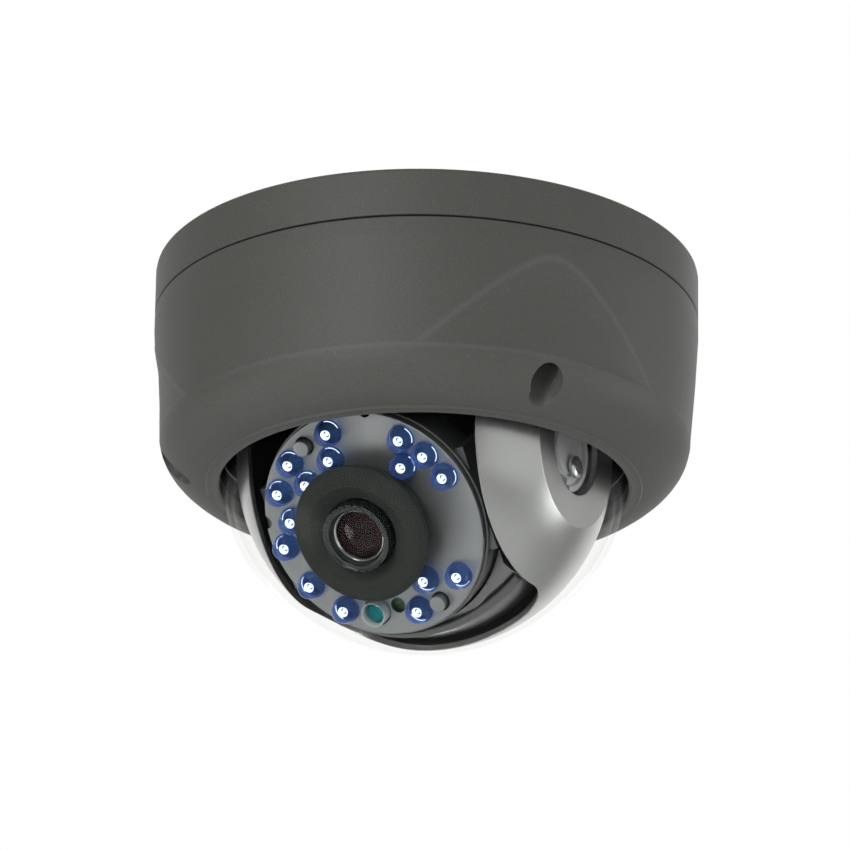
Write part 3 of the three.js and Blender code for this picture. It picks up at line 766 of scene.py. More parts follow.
@dataclass
class Housing:
    """The die-cast base and cover, with their screws and seals."""

    shop: Workshop
    clock: float = -1.2
    radius: float = 55.5
    seam: float = -10.1
    cover_top: float = -10.4
    back_plate: float = 2.6
    base_skirt: tuple[float, float] = (50.2, 52.2)
    base_skirt_end: float = -13.0
    groove: tuple[float, float] = (53.15, 54.65)
    groove_top: float = -9.15
    inlet: float = 9.0
    wall_upper: Point = (55.5, -14.0)
    wall_middle: Point = (54.9, -24.0)
    wall_lower: Point = (53.85, -37.0)
    screw_circle: float = 50.3
    screw_boss: float = 3.6
    counterbore: float = 2.85
    screw_hole: float = 1.75
    mouth: float = 3.45
    mouth_circle: float = 51.25
    mouth_height: float = -41.2
    mouth_stretch: float = 1.2
    counterbore_seat: float = -34.0
    post_circle: float = 39.8
    mount_hole_circle: float = 47.0
    opening: float = 41.5
    rim: float = -46.9
    arch_top: float = -16.5
    arch_step: float = 0.85
    arch_round: float = 6.0
    arch_depth: float = 0.55
    crease_width: float = 0.55
    shoulder_line: float = -37.1

    def angles(self, offset: float) -> list[float]:
        """Return three evenly spaced angles round the housing."""
        return [self.clock + offset + 120.0 * i for i in range(3)]

    def loose_rods(self, circle: float, offset: float, radius: float, low: float,
                   high: float) -> list[bpy.types.Object]:
        """Make three upright rods, as three_rods does, each in its own object."""
        return [moved(rod("rod", radius, low, high), on_circle(circle, a)) for a in self.angles(offset)]

    def three_rods(self, circle: float, offset: float, radius: float, low: float,
                   high: float) -> bpy.types.Object:
        """Make three upright rods in one object.

        Args:
            circle: radius of the circle that they stand on.
            offset: angle of the first in degrees, from the housing's own zero.
            radius: their radius.
            low: height of their feet.
            high: height of their tops.

        Returns:
            The rods.
        """
        return join("rods", self.loose_rods(circle, offset, radius, low, high))

    def build(self) -> None:
        """Make every housing piece."""
        self.build_base()
        self.build_cover()
        self.build_screws()
        self.build_seals()

    def build_base(self) -> None:
        """Make the mounting base with its bosses, posts, screw holes and shallow casting pockets."""
        skirt_in, skirt_out = self.base_skirt
        groove_in, groove_out = self.groove
        outline = [(self.inlet, 0.0, 0.3), (self.radius, 0.0, 1.1), (self.radius, self.seam, 0.45),
                   (groove_out, self.seam, 0.1), (groove_out, self.groove_top, 0.1),
                   (groove_in, self.groove_top, 0.1), (groove_in, self.seam, 0.1),
                   (skirt_out, self.seam, 0.1), (skirt_out, self.base_skirt_end, 0.3),
                   (skirt_in, self.base_skirt_end, 0.3), (skirt_in, -self.back_plate, 0.8),
                   (self.inlet, -self.back_plate, 0.3)]
        base = turned("base_casting", soften(outline, 0.2), 192)
        inside = -1.5
        posts = self.loose_rods(self.post_circle, 30, 2.8, -11.7, inside)
        pads = self.loose_rods(32.0, 90, 2.2, -4.9, inside)
        bosses = self.three_rods(self.screw_circle, 60, 2.8, self.seam, inside)
        combine(base, [join("posts", posts + pads), bosses], "UNION")
        holes = self.three_rods(self.mount_hole_circle, 0, 2.25, -4.0, 1.0)
        threads = self.three_rods(self.screw_circle, 60, self.screw_hole, -14.0, -3.6)
        combine(base, [holes, threads, self.pockets()], "DIFFERENCE")
        self.shop.install(base, Body.BASE, "cast_paint", "cast_paint", "mounting_base")

    def pockets(self) -> bpy.types.Object:
        """Return the shallow sector pockets that lighten the back, to be cut out."""
        parts = []
        count, depth, steps = 6, 0.7, 12
        outer_side, inner_side = (40.5, 24.0), (16.5, -20.0)
        for index in range(count):
            middle = self.clock + 360.0 / count * index
            outline = []
            for radius, sweep in (outer_side, inner_side):
                for step in range(steps + 1):
                    spot = on_circle(radius, middle - sweep + 2 * sweep * step / steps)
                    outline.append((spot.x, spot.y))
            parts.append(extruded("pocket", outline, -depth, 1.0))
        return join("pockets", parts)

    def across(self, angle: float) -> float:
        """Return how many degrees an angle is from the nearest screw."""
        return (angle - self.clock) % 120.0 - 60.0

    def arch_distance(self, height: float, angle: float) -> float:
        """Measure a point of the wall against the nearest soft arch.

        Args:
            height: height of the point, negative.
            angle: its angle in degrees round the housing.

        Returns:
            How far inside the arch it is in millimetres, negative outside.
        """
        across = self.across(angle)
        edge = self.arch_top - self.arch_step * (math.hypot(across, self.arch_round) - self.arch_round)
        return (edge - height) / math.hypot(1.0, self.arch_step)

    def arch_inset(self, height: float, angle: float) -> float:
        """Return how far the wall is set in at a point, inside the three soft arches.

        Args:
            height: height of the point, negative.
            angle: its angle in degrees round the housing.

        Returns:
            The inset in millimetres; a little negative on a crease.
        """
        inside = self.arch_distance(height, angle)
        across = self.across(angle)
        clear_of_screw = 1.0 - math.exp(-(across / 6.0) ** 2) * min(1.0, max(0.0, (-30.0 - height) / 6.0))
        fade = min(1.0, max(0.0, (height + 40.5) / 5.0)) * clear_of_screw
        depth = self.arch_depth * (0.45 + 0.55 * min(1.0, max(0.0, (height + 37.0) / 14.0)))
        ease = min(1.0, max(0.0, inside / 5.0))
        crease = 0.07 * math.exp(-(inside / self.crease_width) ** 2)
        ridge = 0.06 * math.exp(-((height - self.shoulder_line) / 0.5) ** 2)
        return fade * (depth * ease * ease * (3 - 2 * ease) - crease) - ridge

    def mark_wear_and_highlight(self, piece: bpy.types.Object) -> None:
        """Store in a point attribute how far each point of a casting is painted pale: rubbed paint with a
        painted highlight along the arch creases, a painted highlight along the shoulder line, strongest on
        the side towards the camera, and a painted highlight round the opening's lip.
        """
        wear_and_highlight = piece.data.attributes.new("wear_and_highlight", "FLOAT", "POINT")
        for index, vertex in enumerate(piece.data.vertices):
            x, y, z = vertex.co
            radius = math.hypot(x, y)
            angle = math.degrees(math.atan2(x, -y))
            amount = 0.0
            # Rubbed paint along each arch's crease, with a painted highlight on it.
            if radius > 50.0 and -38.5 < z < -12.0:
                fade = min(1.0, (z + 38.5) / 3.0)
                amount = 0.26 * fade * math.exp(-(self.arch_distance(z, angle) / self.crease_width) ** 2)
            # Painted highlight along the shoulder line, strongest on the side towards the camera.
            if radius > 53.0:
                shoulder_highlight = 0.2 * math.exp(-((z - self.shoulder_line) / 0.45) ** 2)
                amount = max(amount, shoulder_highlight * math.exp(-((angle - 22.0) / 45.0) ** 4))
            # Painted highlight round the opening's lip.
            if radius < 42.2 and z < -46.3:
                amount = max(amount, 0.3)
            wear_and_highlight.data[index].value = amount

    def build_cover(self) -> None:
        """Make the cover: drum wall, arches, shoulder, lip, screw bosses and counterbores."""
        wall = [(self.radius, self.cover_top, 0.45), (*self.wall_upper, 0.0)]
        for start, end, steps in ((self.wall_upper, self.wall_middle, 24),
                                  (self.wall_middle, self.wall_lower, 36)):
            for step in range(1, steps + 1):
                radius, height = (a + (b - a) * step / steps for a, b in zip(start, end))
                wall.append((radius, height, 0.0))
        shoulder = [(53.7, -38.0, 0), (53.4, -39.1, 0), (52.9, -40.2, 0), (52.2, -41.3, 0), (51.2, -42.5, 0),
                    (50.0, -43.6, 0), (48.5, -44.7, 0), (46.9, -45.5, 0), (45.2, -46.05, 0)]
        lip = [(44.3, -46.25, 0.1), (44.0, -46.7, 0.15), (42.0, self.rim, 0.25), (self.opening, -46.5, 0.1)]
        inside = [(self.opening, -43.4, 0.2), (46.2, -43.4, 0.2), (46.2, -41.2, 0.3), (49.4, -38.6, 1.0),
                  (50.8, -34.5, 0.5), (52.0, -24.0, 0), (52.8, -13.4, 0), (52.8, self.cover_top, 0.3)]
        outer = {round(row[1], 4) for row in wall + shoulder}

        def inset(radius: float, height: float, angle: float) -> float:
            """Set the outer wall in inside the arches."""
            if radius < 47.0 or round(height, 4) not in outer or height > self.cover_top - 1.0:
                return radius
            return radius - self.arch_inset(height, math.degrees(angle))

        shell = turned("cover_casting", soften([*wall, *shoulder, *lip, *inside], 0.2), 432, shape=inset)
        filled = [(0.0, self.cover_top - 1.0), (51.0, self.cover_top - 1.0), (51.0, -37.0), (50.4, -41.0),
                  (48.0, -43.6), (45.0, -45.0), (0.0, -45.0)]
        boss_set = self.three_rods(self.screw_circle, 60, self.screw_boss, -44.0, -13.4)
        room = turned("room", [(r + 2.2 if r else r, z) for r, z in filled], 96)
        combine(boss_set, [room], "INTERSECT")
        combine(shell, [boss_set], "UNION")
        shanks = self.three_rods(self.screw_circle, 60, self.screw_hole, -40.0, -12.0)
        bores = self.three_rods(self.screw_circle, 60, self.counterbore, -50.0, self.counterbore_seat)
        ball = sphere_arc(self.mouth, 0.0, -self.mouth, self.mouth, 24)
        tall = Matrix.Diagonal((1.0, 1.0, self.mouth_stretch, 1.0)) @ Matrix.Rotation(0.05, 4, "Z")
        mouths = [moved(turned("mouth", ball, 48),
                        Matrix.Translation(on_circle(self.mouth_circle, a, self.mouth_height)) @ tall)
                  for a in self.angles(60)]
        combine(shell, [join("mouths", mouths), bores, shanks], "DIFFERENCE")
        self.mark_wear_and_highlight(shell)
        self.shop.install(shell, Body.COVER, "cast_paint", "cast_paint", "dome_cover")

    def build_screws(self) -> None:
        """Make the captive security screws, each with a six-sided socket and a centre pin."""
        top = self.counterbore_seat - 0.3
        end = top - 2.5
        for index, angle in enumerate(self.angles(60)):
            outline = [(0.0, end), (2.45, end, 0.35), (2.45, top, 0.15), (1.45, top, 0.1), (1.45, -4.8, 0.3),
                       (0.9, -4.2, 0.0), (0.0, -4.2)]
            screw = turned(f"security_screw_{index + 1}", soften(outline, 0.1), 48)
            socket = extruded("socket", [(1.3 * math.cos(TURN * k / 6), 1.3 * math.sin(TURN * k / 6))
                                         for k in range(6)], end - 1.0, end + 1.5)
            combine(screw, [socket], "DIFFERENCE")
            combine(screw, [rod("pin", 0.45, end + 0.3, end + 1.8, 24)], "UNION")
            moved(screw, on_circle(self.screw_circle, angle))
            self.shop.install(screw, Body.COVER, "steel", "steel", f"cover_screw_{index + 1}")

    def build_seals(self) -> None:
        """Make the seam's O-ring and the cable grommet."""
        circle = [(53.9 + 0.55 * math.cos(TURN * k / 16), -9.72 + 0.42 * math.sin(TURN * k / 16))
                  for k in range(16)]
        self.shop.install(turned("seam_o_ring", circle, 144), Body.BASE, "rubber", "rubber", "cover_o_ring")
        outline = [(3.4, -0.3, 0.4), (8.7, -0.3, 0.3), (8.7, -2.9, 0.1), (11.5, -2.9, 0.2), (11.5, -3.9, 0.4),
                   (5.4, -4.5, 0.4), (3.4, -4.5, 0.4)]
        self.shop.install(turned("inlet_grommet", soften(outline, 0.2), 72), Body.BASE, "rubber", "rubber",
                          "cable_grommet")


# ---- bubble -------------------------------------------------------------------------------------


@dataclass
class Bubble:
    """The clear dome with its gasket and clamp ring."""

    shop: Workshop
    centre: float = -41.0
    outer: float = 41.4
    wall: float = 1.2
    flange: float = 45.7

    def build(self) -> None:
        """Make the dome and what holds it."""
        inner = self.outer - self.wall
        outline = [*sphere_arc(self.outer, self.centre, -self.outer, -0.8, 48), (self.flange, -41.8),
                   (self.flange, -40.0), (inner, -40.0), *sphere_arc(inner, self.centre, 0.0, -inner, 48)]
        dome = turned("clear_bubble", outline, 144)
        self.shop.install(dome, Body.COVER, "bubble", "clear_plastic", "dome_bubble")
        lip = [(41.9, -42.1, 0.2), (45.9, -42.1, 0.3), (45.9, -43.1, 0.2), (41.9, -43.1, 0.1)]
        self.shop.install(turned("bubble_seal", soften(lip, 0.2), 128), Body.COVER, "rubber", "rubber",
                          "bubble_gasket")
        ring = [(41.2, -39.7), (45.9, -39.7), (45.9, -38.2), (41.2, -38.2)]
        self.shop.install(turned("bubble_clamp", soften(ring, 0.3), 128), Body.COVER, "steel", "steel",
                          "bubble_clamp_ring")


# ---- gimbal -------------------------------------------------------------------------------------


@dataclass
class Gimbal:
    """The fixed bracket, the turntable, the slotted shroud, the yoke's pivots and the tilt lock."""

    shop: Workshop
    centre: float = -41.0
    outer: float = 38.1
    inner: float = 36.8
    top: float = -22.0
    slot_right: float = 26.0
    slot_left: float = 24.9
    slot_end: float = 12.0
    slot_corner: float = 10.0
    ear: float = 34.5
    ear_wall: float = 33.2
    pocket: float = 9.4
    lock_screw: Point = (2.1, -3.2)
    lean: float = 4.4
    turn: float = 3.5
    tilt_axis: float = -44.2

    def place(self) -> Matrix:
        """Return the shroud's own frame, which leans and turns a little against the gimbal's."""
        return (Matrix.Translation((0, 0, self.centre)) @ Matrix.Rotation(math.radians(self.turn), 4, "Z")
                @ Matrix.Rotation(math.radians(self.lean), 4, "Y"))

    def build(self) -> None:
        """Make every gimbal piece."""
        self.build_bearing()
        self.build_shroud()
        self.build_lock()
        self.build_pivots()

    def build_bearing(self) -> None:
        """Make the bracket, its retaining ring and the turntable."""
        outline = [(7.0, -12.0), (43.0, -12.0), (43.0, -13.7), (10.0, -13.7), (10.0, -16.6),
                   (7.0, -16.6)]
        bracket = turned("fixed_bracket", soften(outline, 0.3), 128)
        windows = [moved(rod("window", 6.5, -15.0, -11.0), on_circle(26.0, a)) for a in (88.8, 208.8, 328.8)]
        combine(bracket, [join("windows", windows)], "DIFFERENCE")
        self.shop.install(bracket, Body.BASE, "alloy", "cast_alloy", "gimbal_bracket")
        ring = [(7.0, -18.1), (12.5, -18.1), (12.5, -16.9), (7.0, -16.9)]
        self.shop.install(turned("pan_clip", soften(ring, 0.2), 64), Body.BASE, "steel", "steel",
                          "pan_retaining_ring")
        disc = [(10.3, -14.1), (33.0, -14.1, 0.6), (33.0, -21.7), (31.6, -21.7), (31.6, -16.5, 0.8),
                (10.3, -16.5)]
        self.shop.install(turned("turntable", soften(disc, 0.3), 128), Body.PAN, "black", "black_plastic",
                          "pan_turntable")

    def slot_outline(self) -> list[Point]:
        """Return the slot's outline seen along the shroud's own axis."""
        y_corner = self.slot_end - self.slot_corner
        points: list[Point] = [(-self.slot_left, -50.0), (self.slot_right, -50.0)]
        corner = self.slot_corner
        for side, start in ((self.slot_right - corner, 0.0), (corner - self.slot_left, 0.25)):
            for k in range(25):
                angle = TURN * (start + 0.25 * k / 24)
                points.append((side + corner * math.cos(angle), y_corner + corner * math.sin(angle)))
        return points

    def build_shroud(self) -> None:
        """Make the slotted sphere with its flat ears and the pocket in the right one."""
        edge = math.sqrt(self.outer ** 2 - self.ear ** 2)
        root = math.sqrt(self.inner ** 2 - self.ear_wall ** 2)
        outside = [(*row, 0.0) for row in sphere_arc(self.outer, 0.0, -self.ear, self.ear, 80)[1:-1]]
        hollow = sphere_arc(self.inner, 0.0, -self.ear_wall, self.ear_wall, 60)
        inside = [(*row, 0.0) for row in reversed(hollow[1:-1])]
        profile = [(0.0, -self.ear), (edge, -self.ear, 0.35), *outside, (edge, self.ear, 0.35),
                   (self.pocket, self.ear, 0.35), (self.pocket, self.ear_wall, 0.1),
                   (root, self.ear_wall, 0.0), *inside, (root, -self.ear_wall, 0.0), (0.0, -self.ear_wall)]
        shell = turned("slotted_shroud", soften(profile, 0.2), 160, Along.X)
        combine(shell, [extruded("slot", self.slot_outline(), -60.0, 60.0)], "DIFFERENCE")
        bevel(shell, 0.28)
        moved(shell, self.place())
        combine(shell, [extruded("above", [(-60, -60), (60, -60), (60, 60), (-60, 60)], self.top, 30.0)],
                "DIFFERENCE")
        self.shop.install(shell, Body.PAN, "shroud", "shroud_paint", "gimbal_shroud", crisp=50.0)

    def build_lock(self) -> None:
        """Make the clear slotted guide and its bright screw in the ear's pocket."""
        outline = [(0.0, 31.0), (8.8, 31.0, 0.3), (8.8, 32.8, 0.4), (7.6, 32.8, 0.2), (7.2, 32.1, 0.2),
                   (5.2, 32.1, 0.2), (4.9, 32.7, 0.3), (0.0, 32.7)]
        guide = turned("lock_guide", soften(outline, 0.2), 96, Along.X)
        notch = extruded("notch", [(30.0, -1.6), (36.0, -1.6), (36.0, 1.6), (30.0, 1.6)], -12.0, -5.6)
        screw_at = Vector((0.0, *self.lock_screw))
        hole = moved(rod("hole", 1.9, 30.0, 40.0, 32, Along.X), screw_at)
        combine(guide, [notch, hole], "DIFFERENCE")
        self.shop.install(moved(guide, self.place()), Body.PAN, "guide", "clear_plastic", "tilt_lock_guide")
        screw_outline = [(0.0, 30.5), (1.5, 30.5, 0.2), (1.5, 33.1, 0.1), (2.3, 33.1, 0.15),
                         (2.3, 34.0, 0.4), (1.6, 34.3, 0.1), (0.0, 34.3)]
        screw = turned("lock_screw", soften(screw_outline, 0.1), 64, Along.X)
        cross = [extruded("cross", [(33.6, -a), (36.0, -a), (36.0, a), (33.6, a)], -b, b)
                 for a, b in ((1.3, 0.25), (0.25, 1.3))]
        combine(screw, cross, "DIFFERENCE")
        moved(screw, self.place() @ Matrix.Translation(screw_at))
        self.shop.install(screw, Body.PAN, "steel", "steel", "tilt_lock_screw")

    def build_pivots(self) -> None:
        """Make the pins and washers; the cast arms keep their CAD shape."""
        for side, word in ((-1, "left"), (1, "right")):
            pin = [(0.0, 21.5), (2.2, 21.5, 0.4), (2.2, 28.5, 0.1), (4.0, 28.5, 0.1), (4.0, 29.4, 0.3),
                   (0.0, 29.4)]
            washer = [(2.6, 24.1), (7.0, 24.1), (7.0, 25.7), (2.6, 25.7)]
            for kind, profile, finish, slot, node in (
                    ("pivot", pin, "steel", "steel", "tilt_pin"),
                    ("washer", washer, "black", "black_plastic", "friction_washer")):
                piece = turned(f"{kind}_{word}", soften(profile, 0.2), 64, Along.X)
                turn = Matrix.Rotation(0 if side > 0 else math.pi, 4, "Z")
                place = Matrix.Translation((0, 0, self.tilt_axis)) @ turn
                self.shop.install(moved(piece, place), Body.PAN, finish, slot, f"{node}_{word}")
            self.shop.redress(f"yoke_{word}", "arm")


# ---- optical frame ------------------------------------------------------------------------------


@dataclass
class Optics:
    """The frame of the optical axis: made along Z with Y up the plate, then laid out and down."""

    tilt_axis: float = -44.2
    tilt: float = 40.3

    def place(self) -> Matrix:
        """Return the matrix from the optical frame to the camera's."""
        turn = Matrix.Rotation(math.radians(90.0 + self.tilt), 4, "X")
        return Matrix.Translation((0, 0, self.tilt_axis)) @ turn


@dataclass
class Carrier:
    """The eyeball's cup with its cheeks, skirt and light seal."""

    shop: Workshop
    optics: Optics
    radius: float = 24.4
    front: float = 24.0
    back: float = 16.0
    cheek_half: float = 11.0
    cheek_front: float = 23.0
    skirt_radius: float = 32.6
    skirt_wall: float = 1.3
    skirt_half: float = 21.6
    skirt_top: float = 19.0
    skirt_bottom: float = -5.5
    strip_radius: float = 33.3
    strip_wall: float = 0.4
    strip_start: float = 0.2
    strip_width: float = 2.6

    def build(self) -> None:
        """Make the carrier's pieces."""
        self.build_cup()
        self.build_skirt()
        self.build_strip()

    def build_cup(self) -> None:
        """Make the cup and its two flat cheeks with their pivot holes."""
        outline = [(23.0, self.front, 0.15), (self.radius, self.front, 0.3),
                   (self.radius, self.back, 0.4), (16.0, self.back, 0.3), (16.0, 17.8, 0.3),
                   (23.0, 17.8, 0.5)]
        cup = turned("carrier_cup", soften(outline, 0.2), 144)
        half = self.cheek_half
        arc = [(half * math.cos(math.radians(a)), half * math.sin(math.radians(a)))
               for a in range(90, 271, 6)]
        side = [(self.cheek_front, -half), (self.cheek_front, half), *arc]
        for low in (22.0, -23.7):
            cheek = extruded("cheek", side, low, low + 1.7)
            # The outline's X is the optical axis and its Y goes up the plate.
            axes = Matrix(((0, 0, 1, 0), (0, 1, 0, 0), (1, 0, 0, 0), (0, 0, 0, 1)))
            combine(cup, [moved(cheek, axes)], "UNION")
        combine(cup, [rod("pivot", 2.6, -30.0, 30.0, 32, Along.X)], "DIFFERENCE")
        combine(cup, [rod("room", 22.2, 17.8, 26.0, 144)], "DIFFERENCE")
        bevel(cup, 0.1)
        self.shop.install(moved(cup, self.optics.place()), Body.TILT, "carrier", "carrier_paint",
                          "camera_carrier", crisp=50.0)

    def build_skirt(self) -> None:
        """Make the gloss skirt, a piece of a sphere about the tilt axis."""
        def grid(radius: float) -> list[list[Vector]]:
            """Return the skirt's points at one radius."""
            rows = []
            tall, wide = 32, 40
            for i in range(tall + 1):
                s = self.skirt_top + (self.skirt_bottom - self.skirt_top) * i / tall
                cells = []
                for j in range(wide + 1):
                    x = self.skirt_half * (2 * j / wide - 1)
                    cells.append(Vector((x, -math.sqrt(radius ** 2 - s ** 2 - x ** 2), s)))
                rows.append(cells)
            return rows

        skirt = sheet_of("eyeball_skirt", grid(self.skirt_radius), grid(self.skirt_radius - self.skirt_wall))
        self.shop.install(moved(skirt, self.optics.place()), Body.TILT, "gloss_black", "gloss_black",
                          "carrier_skirt")

    def build_strip(self) -> None:
        """Make the coarse strip across the skirt, upright at rest."""
        def grid(radius: float) -> list[list[Vector]]:
            """Return the strip's points at one radius."""
            rows = []
            tall, wide = 6, 60
            for i in range(tall + 1):
                y = self.strip_start + self.strip_width * i / tall
                cells = []
                for j in range(wide + 1):
                    x = self.skirt_half * (2 * j / wide - 1)
                    drop = math.sqrt(radius ** 2 - x ** 2 - y ** 2)
                    cells.append(Vector((x, y, self.optics.tilt_axis - drop)))
                rows.append(cells)
            return rows

        strip = sheet_of("seal_strip", grid(self.strip_radius), grid(self.strip_radius - self.strip_wall))
        self.shop.install(strip, Body.TILT, "seal", "seal_felt", "light_seal_strip")


# ---- camera head --------------------------------------------------------------------------------


@dataclass
class LampPlate:
    """The lamp plate with its lamps, pegs and light sensor."""

    shop: Workshop
    optics: Optics
    radius: float = 23.9
    back: float = 24.3
    front: float = 25.5
    bore: float = 9.4
    ring_outer: float = 20.5
    ring_middle: float = 17.6
    ring_inner: float = 15.4
    ring_lower: float = 19.8
    lamp_radius: float = 2.45
    lamp_flange: float = 2.8
    lamp_tip: float = 29.6
    peg_circle: float = 20.6
    peg_angles: tuple[int, int] = (-26, 155)
    peg_radius: float = 1.65
    sensor_place: tuple[float, float] = (19.1, -162)
    microphone_place: tuple[float, float] = (17.8, -177)
    notch_angles: tuple[int, int] = (16, -79)

    def lamps(self) -> list[tuple[float, float]]:
        """Return each lamp's circle and angle."""
        outer = [-7, -40, -60, -93, -119, -143, 133, 71, 55, 38.5]
        inner = [-15, -45, 47, 151]
        return ([(self.ring_outer, a) for a in outer] + [(self.ring_lower, 169), (self.ring_middle, -77)]
                + [(self.ring_inner, a) for a in inner])

    def build(self) -> None:
        """Make the plate and what stands in it."""
        self.build_plate()
        for index, (circle, angle) in enumerate(self.lamps()):
            self.build_lamp(index + 1, on_plate(circle, angle), angle)
        self.build_pegs()
        self.build_sensor()
        board = [(9.4, 22.3), (21.7, 22.3), (21.7, 23.9), (9.4, 23.9)]
        piece = moved(turned("lamp_board", soften(board, 0.1), 96), self.optics.place())
        self.shop.install(piece, Body.HEAD, "board", "circuit_board", "ir_board")

    def build_plate(self) -> None:
        """Make the plate, slightly dished, with its holes and rim notches."""
        outline = [(self.bore, self.back, 0.1), (self.radius, self.back, 0.15),
                   (self.radius, self.front, 0.3),
                   (22.9, self.front, 0.1), (20.0, self.front - 0.18, 0), (14.0, self.front - 0.3, 0),
                   (self.bore, self.front - 0.35, 0.1)]
        plate = turned("lamp_plate", soften(outline, 0.1), 160)
        low, high = self.back - 2.0, self.front + 2.0
        holes = [moved(rod("hole", 2.62, low, high, 40), on_plate(circle, a)) for circle, a in self.lamps()]
        pegs = [moved(rod("hole", 1.98, low, high, 32), on_plate(self.peg_circle, a))
                for a in self.peg_angles]
        eyes = [moved(rod("hole", 2.95, low, high, 40), on_plate(*self.sensor_place)),
                moved(rod("hole", 1.6, low, high, 32), on_plate(*self.microphone_place))]
        notches = [moved(rod("notch", 1.25, low, high, 32), on_plate(self.radius, a))
                   for a in self.notch_angles]
        combine(plate, [join("holes", holes + pegs + eyes + notches)], "DIFFERENCE")
        bevel(plate, 0.05)
        self.shop.install(moved(plate, self.optics.place()), Body.HEAD, "plate", "plate_paint", "front_plate",
                          crisp=50.0)

    def build_lamp(self, number: int, at: Vector, angle: float) -> None:
        """Make one lamp: tinted epoxy, with its reflector cup, die and a thin crescent near its foot, all
        three glowing as painted highlights.

        Args:
            number: its number, from 1.
            at: its centre on the plate.
            angle: its angle round the plate in degrees.
        """
        middle = self.lamp_tip - self.lamp_radius
        base, flange_top = self.front + 0.08, self.front + 0.75
        outline = [(0.0, 24.1), (self.lamp_radius, 24.1, 0.1), (self.lamp_radius, base, 0.02),
                   (self.lamp_flange, base, 0.1), (self.lamp_flange, flange_top, 0.2),
                   (self.lamp_radius, flange_top, 0.08),
                   *sphere_arc(self.lamp_radius, middle, 0.0, self.lamp_radius, 14)]
        epoxy = turned(f"lamp_{number:02d}", soften(outline, 0.05), 48)
        turn = Matrix.Rotation(math.radians(20.0 - angle), 4, "Z")
        place = self.optics.place() @ Matrix.Translation(at) @ turn
        self.shop.install(moved(epoxy, place), Body.HEAD, "epoxy", "led_epoxy", f"ir_led_{number:02d}")
        # The cup, the die and the thin crescent are painted highlights that glow through the epoxy.
        cup = turned("cup", soften([(0.62, 26.9), (0.8, 26.9), (1.05, 27.5), (0.9, 27.55)], 0.03), 24)
        dot = turned("dot", soften([(0.0, 26.6), (0.42, 26.6), (0.3, 27.3), (0.0, 27.4)], 0.05), 20)
        bow = [math.radians(-15 + 7 * step) for step in range(13)]
        arcs = [[(radius * math.cos(a), radius * math.sin(a)) for a in turns]
                for radius, turns in ((2.4, bow), (2.27, bow[::-1]))]
        painted_glint = extruded("painted_glint", arcs[0] + arcs[1], base + 0.1, base + 0.25)
        works = join(f"lamp_painted_glow_{number:02d}", [cup, dot, painted_glint])
        self.shop.install(moved(works, place), Body.HEAD, "cup", "steel")

    def build_pegs(self) -> None:
        """Make the two flat-topped pegs."""
        foot, middle, top = 24.1, 26.4, 27.3
        outline = [(0.0, foot), (self.peg_radius, foot, 0.1), (self.peg_radius, middle, 0.0),
                   (self.peg_radius, top, 0.2), (0.0, top)]
        for index, angle in enumerate(self.peg_angles):
            peg = turned(f"peg_{index + 1}", soften(outline, 0.1), 48)
            moved(peg, on_plate(self.peg_circle, angle))
            self.shop.install(moved(peg, self.optics.place()), Body.HEAD, "plate", "plate_paint",
                              f"plate_peg_{index + 1}")

    def build_sensor(self) -> None:
        """Make the light sensor: clear holder, teal window and the chip under it, which glows teal with
        painted light.
        """
        at = on_plate(*self.sensor_place)
        holder = [(2.3, 24.1), (2.65, 24.1), (2.65, 27.6, 0.15), (2.3, 27.6, 0.15)]
        window = [(0.0, 24.9), (2.0, 24.9, 0.1), (2.0, 26.3, 0.3), (1.2, 26.7, 0.2), (0.0, 26.8)]
        chip = [(0.0, 24.2), (1.9, 24.2), (1.9, 24.7), (0.0, 24.7)]
        for name, profile, finish, slot, nodes in (
                ("sensor_sleeve", holder, "clear_part", "clear_plastic", ("light_sensor_holder",)),
                ("sensor_window", window, "teal", "teal_glass", ("light_sensor",)),
                ("sensor_chip_painted_glow", chip, "teal_painted_glow", "teal_glass", ())):
            place = self.optics.place() @ Matrix.Translation(at)
            piece = moved(turned(name, soften(profile, 0.05), 48), place)
            self.shop.install(piece, Body.HEAD, finish, slot, *nodes)


